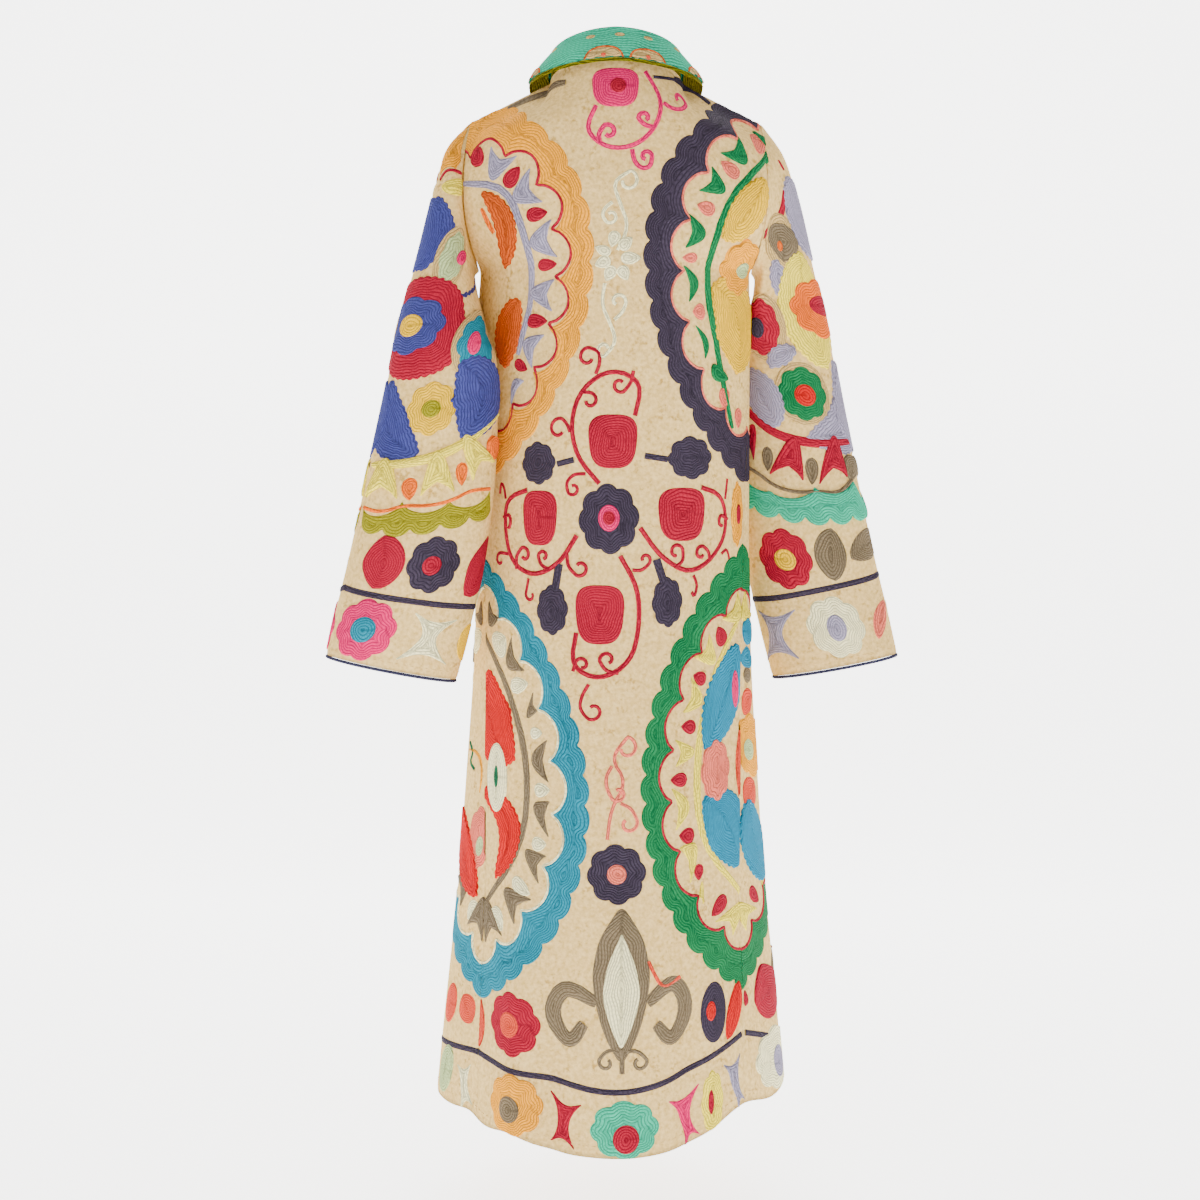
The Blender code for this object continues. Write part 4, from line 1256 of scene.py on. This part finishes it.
BACK_LOWER_RIGHT = (
    ("rim", "leaf_green", (21, 8, 9, 18),
     (238, 564, 98, 656, 40, 815, 70, 980, 196, 1090), (208, 632, 107, 705, 70, 833, 101, 962, 202, 1037)),
    ("arcs", "crimson", (3, 9, 18), (208, 632, 107, 705, 70, 833, 101, 962, 202, 1037)),
    *each("drop", "crimson", (9, 139, 666, 152, 689), (7, 100, 720, 120, 728), (7, 82, 778, 105, 780),
          (7, 68, 838, 92, 839), (8, 80, 902, 102, 904), (6, 108, 956, 108, 936), (8, 127, 999, 154, 979)),
    ("vine", "lemon", 9, (195, 645, 129, 720, 103, 816, 110, 916, 183, 980)),
    *each("fish", "lemon", (9, 179, 656, 179, 627, 147, 656), (9, 128, 703, 123, 674, 99, 697),
          (9, 108, 749, 96, 722, 84, 761), (9, 95, 808, 73, 793, 73, 823), (9, 89, 869, 69, 849, 75, 895),
          (9, 101, 922, 81, 918, 95, 959), (9, 113, 964, 116, 991, 107, 978),
          (9, 175, 998, 132, 1008, 163, 1027)),
    *each("feather", "sky", (31, 180, 688, 151, 748, 117, 806), (37, 114, 863, 155, 899, 173, 950)),
    ("rose", "salmon", 0, (135, 832, 24, 36)),
    ("round", "hot_pink", 0, (172, 741, 8, 23)),
    ("leaf", "coral", 11, (199, 770, 184, 826, 192, 883)),
)
BACK_SCROLL = (
    *each("curl", "salmon", (3, -6, 903, -2, 868, 16, 838, -3, 811, 17, 787, 15, 800),
          (3, -1, 820, -8, 832, -7, 846, 0, 858, 6, 851), (3, 9, 862, 22, 868, 28, 881, 18, 885)),
    ("rose", "charcoal", 0, (5, 942, 34, 34)),
    ("round", "salmon", 0, (5, 942, 12, 12)),
    ("profile", "taupe", (14, 26, 31, 34, 32, 28, 22, 13), (11, 975, 11, 1156)),
    ("profile", "cream", (6, 13, 18, 21, 22, 19, 14, 8), (11, 1004, 11, 1140)),
    *each("vine", "taupe", (17, -17, 1086, -55, 1067, -76, 1101, -50, 1137, -32, 1110),
          (17, 41, 1087, 76, 1061, 96, 1097, 73, 1136, 52, 1111)),
    ("cord", "coral", 3, (42, 1040, 53, 1062, 62, 1072, 84, 1062)),
    *each("curl", "taupe", (3, 12, 1142, 3, 1137, -7, 1140, -14, 1149, -6, 1152),
          (3, 12, 1142, 23, 1138, 33, 1141, 41, 1150, 32, 1152)),
    ("cord", "taupe", 4, (12, 1137, 12, 1164)),
)
BACK_HEM = (
    ("rose", "crimson", 0, (-124, 1120, 39, 36)),
    ("round", "coral", 0, (-127, 1121, 16, 15)),
    ("leaf", "coral", 13, (-192, 1101, -189, 1130, -189, 1160)),
    ("round", "charcoal", 0, (131, 1108, 20, 35)),
    ("round", "red", 0, (126, 1106, 8, 12)),
    ("leaf", "red", 13, (174, 1078, 166, 1112, 152, 1144)),
    ("cord", "charcoal", 5, (-189, 1166, -129, 1171, -66, 1176, -4, 1187, 60, 1180, 118, 1160, 179, 1142)),
    ("rose", "mint", 0, (16, 1227, 40, 33)),
    ("round", "crimson", 0, (17, 1237, 16, 17)),
    ("cross", "crimson", 10, (-78, 1184, -31, 1199, -76, 1248, -39, 1256, -57, 1223)),
    ("cross", "hot_pink", 10, (64, 1198, 114, 1181, 93, 1265, 113, 1244, 91, 1219)),
    ("rose", "amber", 0, (-120, 1210, 38, 35)),
    ("round", "taupe", 0, (-124, 1215, 15, 16)),
    ("rose", "lemon", 0, (129, 1209, 16, 36)),
    ("round", "crimson", 0, (126, 1209, 5, 15)),
    ("cross", "lilac", 10, (142, 1168, 179, 1158, 174, 1239, 186, 1219, 165, 1193)),
)
FRONT_LEFT = (
    ("rose", "salmon", 0, (310, 922, 25, 40)),
    ("round", "pale_mint", 0, (317, 929, 9, 13)),
    ("feather", "red", 23, (248, 891, 282, 945, 327, 989)),
    ("leaf", "amber", 3, (241, 823, 290, 828, 298, 876)),
    ("cord", "dark_green", 3, (251, 812, 269, 822, 259, 835, 279, 842)),
    ("leaf", "coral", 17, (337, 1107, 351, 1122, 365, 1137)),
    ("round", "coral", 0, (310, 1124, 17, 25)),
    ("cross", "cream", 9, (346, 1187, 380, 1181, 373, 1246, 402, 1232, 372, 1210)),
    ("round", "pale_mint", 0, (327, 1202, 18, 30)),
)
FRONT_RIGHT = (
    ("round", "sky", 0, (244, 676, 16, 17)),
    ("drop", "sky", 16, (247, 693, 252, 721)),
    ("round", "taupe", 0, (254, 728, 12, 10)),
    ("leaf", "coral", 15, (241, 753, 262, 759, 276, 775)),
    ("rose", "amber", 0, (264, 812, 41, 39)),
    ("round", "pale_mint", 0, (276, 816, 15, 14)),
    ("leaf", "coral", 20, (267, 855, 285, 867, 304, 878)),
    ("feather", "sky", 33, (292, 873, 289, 927, 262, 974)),
    ("patch", "crimson", 0, (368, 1087, 361, 1109, 377, 1115)),
    ("leaf", "crimson", 35, (279, 1088, 313, 1106, 352, 1111)),
    ("rose", "cream", 0, (316, 1189, 57, 38)),
    ("round", "lilac", 0, (312, 1195, 18, 21)),
)
SLEEVE_LEFT = (
    ("rim", "amber", (2, 11, 2, 8),
     (-19, 64, -9, 77, 3, 88, 17, 95, 34, 99), (22, 147, 34, 145, 44, 140, 53, 134, 61, 125)),
    ("cord", "crimson", 3, (24, 150, 32, 137, 54, 142)),
    ("leaf", "lemon", 11, (29, 158, 53, 159, 77, 160)),
    ("vine", "lemon", 8, (71, 173, 92, 182, 110, 195, 129, 207, 149, 218)),
    ("feather", "blue", 36, (33, 170, 25, 214, 36, 257)),
    ("round", "sand", 0, (66, 242, 21, 38)),
    ("rose", "pale_mint", 0, (67, 242, 16, 31)),
    ("round", "hot_pink", 0, (79, 242, 9, 10)),
    ("feather", "blue", 3, (181, 245, 36, 300, -119, 288)),
    ("feather", "crimson", 59, (-11, 288, 47, 324, 106, 360)),
    ("rose", "blue", 0, (39, 322, 45, 34)),
    ("round", "yellow", 0, (41, 322, 18, 14)),
    ("round", "sand", 0, (129, 342, 34, 42)),
    ("rose", "teal", 0, (129, 342, 28, 34)),
    ("round", "hot_pink", 0, (122, 342, 10, 14)),
    ("rose", "yellow", 0, (87, 416, 29, 31)),
    ("round", "olive", 0, (87, 416, 12, 11)),
    *each("feather", "blue", (36, 108, 363, 142, 400, 127, 448), (28, 27, 382, 36, 437, 83, 467)),
    ("vine", "lemon", 10, (24, 480, 66, 479, 107, 470, 143, 448, 175, 421)),
    *each("fish", "lemon", (9, 44, 484, 24, 519, 66, 520), (9, 106, 476, 96, 517, 132, 512),
          (9, 140, 456, 181, 479, 154, 498)),
    *each("drop", "orange", (8, 83, 521, 77, 494), (6, 140, 504, 134, 476), (8, 177, 475, 170, 445)),
    ("rim", "olive", (5, 9, 3, 13),
     (23, 547, 66, 555, 107, 551, 149, 542, 190, 532), (21, 529, 61, 522, 102, 521, 142, 519, 181, 507)),
    ("cord", "orange", 3, (21, 529, 50, 535, 77, 526, 104, 527, 131, 521, 152, 508, 181, 507)),
    ("leaf", "crimson", 27, (61, 560, 66, 592, 60, 623)),
    ("rose", "charcoal", 0, (126, 594, 31, 33)),
    ("round", "crimson", 0, (124, 595, 12, 12)),
    ("leaf", "crimson", 24, (197, 561, 192, 599, 171, 631)),
    ("cord", "charcoal", 5, (16, 622, 62, 630, 108, 636, 154, 642, 200, 645)),
    ("rose", "hot_pink", 0, (61, 670, 39, 36)),
    ("round", "teal", 0, (60, 670, 17, 16)),
    ("cross", "cream", 10, (112, 645, 175, 657, 101, 706, 169, 715, 139, 678)),
    ("round", "yellow", 0, (196, 687, 19, 23)),
)
SLEEVE_RIGHT = (
    *each("vine", "crimson", (9, 52, 156, 64, 179, 82, 197, 104, 210, 129, 214),
          (6, 42, 120, 41, 123, 40, 126, 38, 128, 37, 131)),
    ("round", "sand", 0, (73, 216, 28, 34)),
    ("drop", "taupe", 21, (77, 239, 68, 193)),
    ("round", "orange", 0, (80, 220, 5, 7)),
    *each("feather", "lilac", (39, 36, 137, 18, 185, -11, 226), (11, 89, 234, 86, 257, 86, 280)),
    ("feather", "lemon", 38, (45, 223, 53, 293, 35, 361)),
    ("rose", "orange", 0, (29, 290, 49, 36)),
    ("round", "crimson", 0, (22, 286, 28, 13)),
    ("round", "sand", 0, (112, 313, 28, 39)),
    ("rose", "crimson", 0, (114, 313, 22, 34)),
    ("round", "charcoal", 0, (119, 313, 9, 13)),
    ("round", "sand", 0, (76, 392, 36, 38)),
    ("rose", "leaf_green", 0, (76, 392, 31, 33)),
    ("round", "red", 0, (74, 394, 14, 14)),
    *each("feather", "lilac", (23, 149, 362, 126, 395, 116, 433), (12, 76, 340, 96, 346, 111, 361),
          (33, 21, 349, 12, 421, 81, 444)),
    ("vine", "crimson", 10, (157, 405, 124, 439, 80, 452, 32, 450, -15, 446)),
    *each("fish", "crimson", (9, 148, 438, 154, 475, 170, 447), (9, 101, 456, 135, 491, 97, 498),
          (9, 49, 456, 76, 503, 37, 493)),
    *each("drop", "taupe", (6, 137, 486, 131, 455), (7, 86, 502, 79, 468), (11, 31, 497, 19, 465)),
    ("rim", "mint", (6, 10, 3, 11),
     (190, 515, 146, 532, 102, 540, 56, 540, 10, 532), (178, 474, 147, 506, 109, 509, 68, 500, 29, 495)),
    ("cord", "taupe", 3, (178, 474, 152, 485, 131, 504, 105, 511, 79, 509, 53, 512, 29, 495)),
    ("rose", "crimson", 0, (136, 591, 33, 37)),
    ("round", "yellow", 0, (136, 592, 14, 14)),
    *each("leaf", "taupe", (21, 72, 553, 79, 585, 80, 618), (18, -15, 564, 21, 573, 54, 591)),
    ("cord", "charcoal", 5, (213, 643, 161, 640, 111, 630, 60, 620, 9, 610)),
    ("cross", "lilac", 12, (196, 652, 132, 649, 201, 722, 139, 715, 170, 683)),
    ("rose", "cream", 0, (91, 673, 36, 37)),
    ("round", "lilac", 0, (91, 674, 13, 17)),
    ("leaf", "salmon", 11, (11, 642, 29, 663, 39, 689)),
)

# %% [markdown]
# ## The far sides
#
# The photo shows only the back. The real coat's medallions straddle its side seams, so each front takes
# the mirrored half of the back's, with the centre's flowers beyond, and each sleeve's front mirrors its back.

# %% Mirror the motifs and stitch the panels
HALF = ("rim", "arcs", "drop", "vine", "fish")
# Millimetres before (-) or beyond the side seam from where a motif also lies on the front.
RIM_PAST = -120.0
CENTRE_BEYOND = 70
HEM_BEYOND = 95


def moved(table, change, wanted):
    """A table with every place changed, for the motifs that are wanted."""
    made = []
    for kind, thread_name, width, *lists in table:
        given = [np.array(values, float).reshape(-1, 2) for values in lists]
        spots = given[0]
        if kind in ("rose", "round", "bud"):
            middle, reach = spots
            spots = np.array([middle - (reach[0], 0), middle, middle + (reach[0], 0)])
        if wanted(kind, spots):
            parts = [change(values) for values in given]
            if kind in ("rose", "round", "bud"):
                parts[0][1] = given[0][1]
            made.append((kind, thread_name, width, *[tuple(part.ravel()) for part in parts]))
    return made


def over_seam(table, side, kinds=None, beyond=-1.0):
    """The back's motifs as far beyond the side seam as they are before it."""
    back, front = CLOTHS["back"], CLOTHS[f"front_{side}"]
    edge = back.edge_low if side == "left" else back.edge_high
    inward = 1 if side == "left" else -1

    def gap(values):
        return inward * (values[:, 0] - np.interp(values[:, 1] / 1000, back.levels, edge) * 1000)

    def change(values):
        seam = np.interp(values[:, 1] / 1000, front.levels, front.edge_high) * 1000
        return np.stack([seam - gap(values), values[:, 1]], -1)

    def wanted(kind, spots):
        reach = RIM_PAST if kind in ("rim", "arcs") else beyond
        return (not kinds or kind in kinds) and gap(spots).min() > reach

    return moved(table, change, wanted)


def round_front(table, line):
    """A sleeve's motifs, mirrored on the line where its back half ends."""
    return moved(table, lambda values: np.stack([2 * line - values[:, 0], values[:, 1]], -1),
                 lambda kind, spots: spots[:, 0].min() > line - 6)


def front_table(side, upper, lower, own):
    return [*over_seam(upper, side), *over_seam(lower, side, HALF),
            *over_seam(BACK_CENTRE, side, None, CENTRE_BEYOND),
            *over_seam(BACK_SCROLL, side, None, CENTRE_BEYOND),
            *over_seam(BACK_HEM, side, None, HEM_BEYOND), *over_seam(BACK_HEM, side, ("cord",)), *own]


TABLES = {
    "back": BACK_UPPER_LEFT + BACK_UPPER_RIGHT + BACK_NECK + BACK_CENTRE + BACK_LOWER_LEFT + BACK_LOWER_RIGHT
            + BACK_SCROLL + BACK_HEM,
    "front_left": front_table("left", BACK_UPPER_LEFT, BACK_LOWER_LEFT, FRONT_LEFT),
    "front_right": front_table("right", BACK_UPPER_RIGHT, BACK_LOWER_RIGHT, FRONT_RIGHT),
    "sleeve_left": [*SLEEVE_LEFT, *round_front(SLEEVE_LEFT, 18)],
    "sleeve_right": [*SLEEVE_RIGHT, *round_front(SLEEVE_RIGHT, 6)],
}
WORK = [stitched(CLOTHS[name], table).finish(f"{name}_embroidery") for name, table in TABLES.items()]


# %% [markdown]
# ## The collar's scallops
#
# The turned-down collar is filled with green stitching. Sand half moons edged in coral break its lower
# edge, and small sand notches its fold.

# %% Stitch the collar
class CollarFace:
    """The turned-down collar's outer face: across from the centre back, down from the inner edge."""

    def __init__(self):
        self.along = lengths(COLLAR_POINTS, 0)[:, -1]
        self.along = self.along - self.along[len(self.along) // 2]
        self.depth = lengths(COLLAR_POINTS, 1)[len(self.along) // 2]

    def at(self, across, down, lift=0.0):
        x = np.clip(np.interp(across, self.along, np.arange(len(self.along))), 0, len(self.along) - 1.001)
        y = np.clip(np.interp(down, self.depth, np.arange(len(self.depth))), 0, len(self.depth) - 1.001)
        i, j = x.astype(int), y.astype(int)
        u, v = (x - i)[:, None], (y - j)[:, None]
        both = np.concatenate([COLLAR_POINTS, COLLAR_NORMALS], -1)
        found = ((1 - u) * ((1 - v) * both[i, j] + v * both[i, j + 1])
                 + u * ((1 - v) * both[i + 1, j] + v * both[i + 1, j + 1]))
        return found[:, :3] + found[:, 3:] * np.asarray(lift)[..., None]

    def on_it(self, across, down):
        between = np.abs(across) < self.along[-1] - 0.004
        return between & (down > self.depth[0] + 0.002) & (down < self.depth[-1] - 0.0008)


COLLAR_FACE = CollarFace()
EDGE = COLLAR_FACE.depth[-1] * 1000
COLLAR_WORK = []
# Half moons: millimetres from the centre back, half width, height. Then the notches' places.
MOONS = ((-238, 24, 12), (-184, 26, 13), (-128, 22, 12), (-15, 23, 14), (37, 22, 13), (122, 25, 12),
         (176, 22, 13), (231, 25, 12))
NOTCHES = (-196, -148, -96, -34, 4, 42, 92, 151, 203)
for middle, half, high in MOONS:
    moon = [middle - half, EDGE + 1, middle - half * 0.8, EDGE - high * 0.7, middle, EDGE - high,
            middle + half * 0.8, EDGE - high * 0.7, middle + half, EDGE + 1]
    COLLAR_WORK += [("patch", "sand", 0, moon), ("cord", "rust", 1.5, moon),
                    ("round", "coral", 0, (middle, EDGE - 3, 4, 3))]
for middle in NOTCHES:
    COLLAR_WORK.append(("round", "sand", 0, (middle, EDGE * 0.36, 7, 3)))
WORK.append(stitched(COLLAR_FACE, COLLAR_WORK).finish("collar_embroidery"))
for piece in WORK:
    print(piece.name, len(piece.data.polygons), "faces")

# %% [markdown]
# ## Hand stitches
#
# The turned edges are held by a row of small running stitches: round the hem and the cuffs and down the
# front edges. One Geometry Nodes tree lays a row of them along any path.

# %% Sew the edges
def stitch_tree(material):
    """Lays small round stitches along the path that it is given."""
    tree = bpy.data.node_groups.new("running_stitches", "GeometryNodeTree")
    face = tree.interface
    face.new_socket("Path", in_out="INPUT", socket_type="NodeSocketGeometry")
    sockets = {name: face.new_socket(name, in_out="INPUT", socket_type=kind).identifier
               for name, kind in (("Count", "NodeSocketInt"), ("Length", "NodeSocketFloat"),
                                  ("Thickness", "NodeSocketFloat"), ("Seed", "NodeSocketInt"))}
    face.new_socket("Stitches", in_out="OUTPUT", socket_type="NodeSocketGeometry")

    def add(kind, **settings):
        made = tree.nodes.new(kind)
        for key, value in settings.items():
            setattr(made, key, value)
        return made

    def join(source, output, target, entry):
        tree.links.new(source.outputs[output], target.inputs[entry])

    given = add("NodeGroupInput")
    curve = add("GeometryNodeMeshToCurve")
    even = add("GeometryNodeResampleCurve")
    bead = add("GeometryNodeMeshUVSphere")
    bead.inputs["Segments"].default_value = 6
    bead.inputs["Rings"].default_value = 4
    bead.inputs["Radius"].default_value = 0.5
    turn = add("FunctionNodeAlignRotationToVector", axis="X")
    way = add("GeometryNodeInputTangent")
    size = add("ShaderNodeCombineXYZ")
    uneven = add("FunctionNodeRandomValue", data_type="FLOAT")
    uneven.inputs["Min"].default_value = 0.75
    uneven.inputs["Max"].default_value = 1.15
    longer = add("ShaderNodeMath", operation="MULTIPLY")
    lay = add("GeometryNodeInstanceOnPoints")
    real = add("GeometryNodeRealizeInstances")
    paint = add("GeometryNodeSetMaterial")
    paint.inputs["Material"].default_value = material
    result = add("NodeGroupOutput")
    join(given, "Path", curve, "Mesh")
    join(curve, "Curve", even, "Curve")
    join(given, "Count", even, "Count")
    join(given, "Seed", uneven, "Seed")
    tree.links.new(given.outputs["Length"], longer.inputs[0])
    tree.links.new([s for s in uneven.outputs if s.enabled][0], longer.inputs[1])
    join(longer, 0, size, "X")
    join(given, "Thickness", size, "Y")
    join(given, "Thickness", size, "Z")
    join(way, 0, turn, "Vector")
    join(even, "Curve", lay, "Points")
    join(bead, "Mesh", lay, "Instance")
    join(turn, "Rotation", lay, "Rotation")
    join(size, 0, lay, "Scale")
    join(lay, 0, real, 0)
    join(real, 0, paint, 0)
    join(paint, 0, result, 0)
    return tree, sockets


def sewn(name, points, tree, sockets, seed):
    """One row of stitches along points, as a plain mesh object."""
    run = np.linalg.norm(np.diff(points, axis=0), axis=1).sum()
    path = mesh_object(f"{name}_path", points, [], [])
    path.data.clear_geometry()
    path.data.from_pydata([tuple(p) for p in points], [(i, i + 1) for i in range(len(points) - 1)], [])
    sewing = path.modifiers.new("stitches", "NODES")
    sewing.node_group = tree
    values = {"Count": int(run / STITCH_EVERY), "Length": STITCH_LENGTH, "Thickness": STITCH_THICKNESS,
              "Seed": seed}
    for key, value in values.items():
        sewing[sockets[key]] = value
    graph = bpy.context.evaluated_depsgraph_get()
    mesh = bpy.data.meshes.new_from_object(path.evaluated_get(graph))
    bpy.data.objects.remove(path)
    made = bpy.data.objects.new(name, mesh)
    bpy.context.scene.collection.objects.link(made)
    return made


STITCH_EVERY = 0.0085
STITCH_LENGTH = 0.0048
STITCH_THICKNESS = 0.0011
STITCH_LIFT = 0.0002
TREE, SOCKETS = stitch_tree(GROUND)
ROWS = {}
for seed, (name, cloth) in enumerate(CLOTHS.items()):
    ROWS[f"{name}_hem_stitches"] = (cloth.points[-3] + cloth.normals[-3] * STITCH_LIFT, seed)
    if name.startswith("front"):
        spots = cloth.points[4:-4, 1] + cloth.normals[4:-4, 1] * STITCH_LIFT
        ROWS[f"{name}_edge_stitches"] = (spots, seed + 20)
for name, (points, seed) in ROWS.items():
    WORK.append(sewn(name, points, TREE, SOCKETS, seed))
print("stitch rows:", len(ROWS))

# %% [markdown]
# ## Floor, light and camera
#
# The photo is taken from behind in soft, even light on white. A pale floor and backdrop, large lamps on
# both sides and a camera at the same place give the same picture.

# %% Set the stage
def area_light(name, place, aim, size, power):
    light = bpy.data.lights.new(name, "AREA")
    light.shape = "RECTANGLE"
    light.size, light.size_y = size
    light.energy = power
    lamp = bpy.data.objects.new(name, light)
    lamp.location = place
    lamp.rotation_euler = (Vector(aim) - Vector(place)).to_track_quat("-Z", "Y").to_euler()
    bpy.context.scene.collection.objects.link(lamp)
    return lamp


def plain(name, colour, roughness):
    material, _, shader = blank(name)
    shader.inputs["Base Color"].default_value = (*colour, 1)
    shader.inputs["Roughness"].default_value = roughness
    return material


FLOOR_Z, BEND_Y, BEND_RADIUS = -1.36, 1.6, 1.2
PAPER_GLOW = 3.0
WORLD_COLOUR, WORLD_STRENGTH = (1.0, 0.95, 0.86, 1), 0.80
CAMERA_PLACE, CAMERA_AIM, CAMERA_ROLL_DEG = (-0.0156, -2.4, -0.48), (-0.0156, 0, -0.6408), 0.3
turns = np.linspace(0, math.pi / 2, 13)
profile = [(-4.5, FLOOR_Z), (BEND_Y, FLOOR_Z)]
profile += [(BEND_Y + BEND_RADIUS * math.sin(t), FLOOR_Z + BEND_RADIUS * (1 - math.cos(t)))
            for t in turns[1:]]
profile.append((2.8, 3.4))
points = np.array([[(x, y, z) for x in (-5.0, 5.0)] for y, z in profile])
paper = plain("pale_paper", (0.93, 0.93, 0.93), 0.9)
shine = paper.node_tree.nodes["Principled BSDF"].inputs
shine["Emission Color"].default_value = (1.0, 1.0, 1.0, 1)
shine["Emission Strength"].default_value = PAPER_GLOW
sweep = mesh_object("backdrop", points.reshape(-1, 3), quads(len(profile), 2), [paper])
world = bpy.data.worlds.new("studio")
world.use_nodes = True
world.node_tree.nodes["Background"].inputs[0].default_value = WORLD_COLOUR
world.node_tree.nodes["Background"].inputs[1].default_value = WORLD_STRENGTH
bpy.context.scene.world = world
lamps = [
    area_light("key", (-1.9, -2.2, 1.1), (0, 0, -0.6), (1.8, 2.2), 28),
    area_light("fill", (2.0, -2.4, 0.2), (0, 0, -0.7), (1.8, 2.4), 17),
    area_light("top", (0.0, -0.6, 2.2), (0, 0, -0.4), (2.2, 2.0), 16),
    area_light("backdrop_light", (0.0, 1.2, 1.9), (0, 2.6, -0.4), (3.0, 1.0), 70),
]
camera = bpy.data.objects.new("camera", bpy.data.cameras.new("camera"))
camera.data.lens = 60
camera.data.sensor_width = 36
camera.location = CAMERA_PLACE
camera.rotation_euler = (Vector(CAMERA_AIM) - camera.location).to_track_quat("-Z", "Y").to_euler()
camera.rotation_euler.rotate_axis("Z", math.radians(CAMERA_ROLL_DEG))
bpy.context.scene.collection.objects.link(camera)
bpy.context.scene.camera = camera

# %% [markdown]
# ## What belongs where
#
# Every piece rides on the one body of the coat and stands for its solid.

# %% Tie the pieces to the solids and finish
SLOTS = {"collar_fall": "mint_stitching", "collar_stand": "olive_stitching",
         "collar_under": "olive_stitching"}
for name, piece in PIECES.items():
    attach(piece, "root")
    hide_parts(name)
    SLOTS.get(name, "navy_cord" if "piping" in name else "ground_cloth")
for piece in WORK:
    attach(piece, "root")
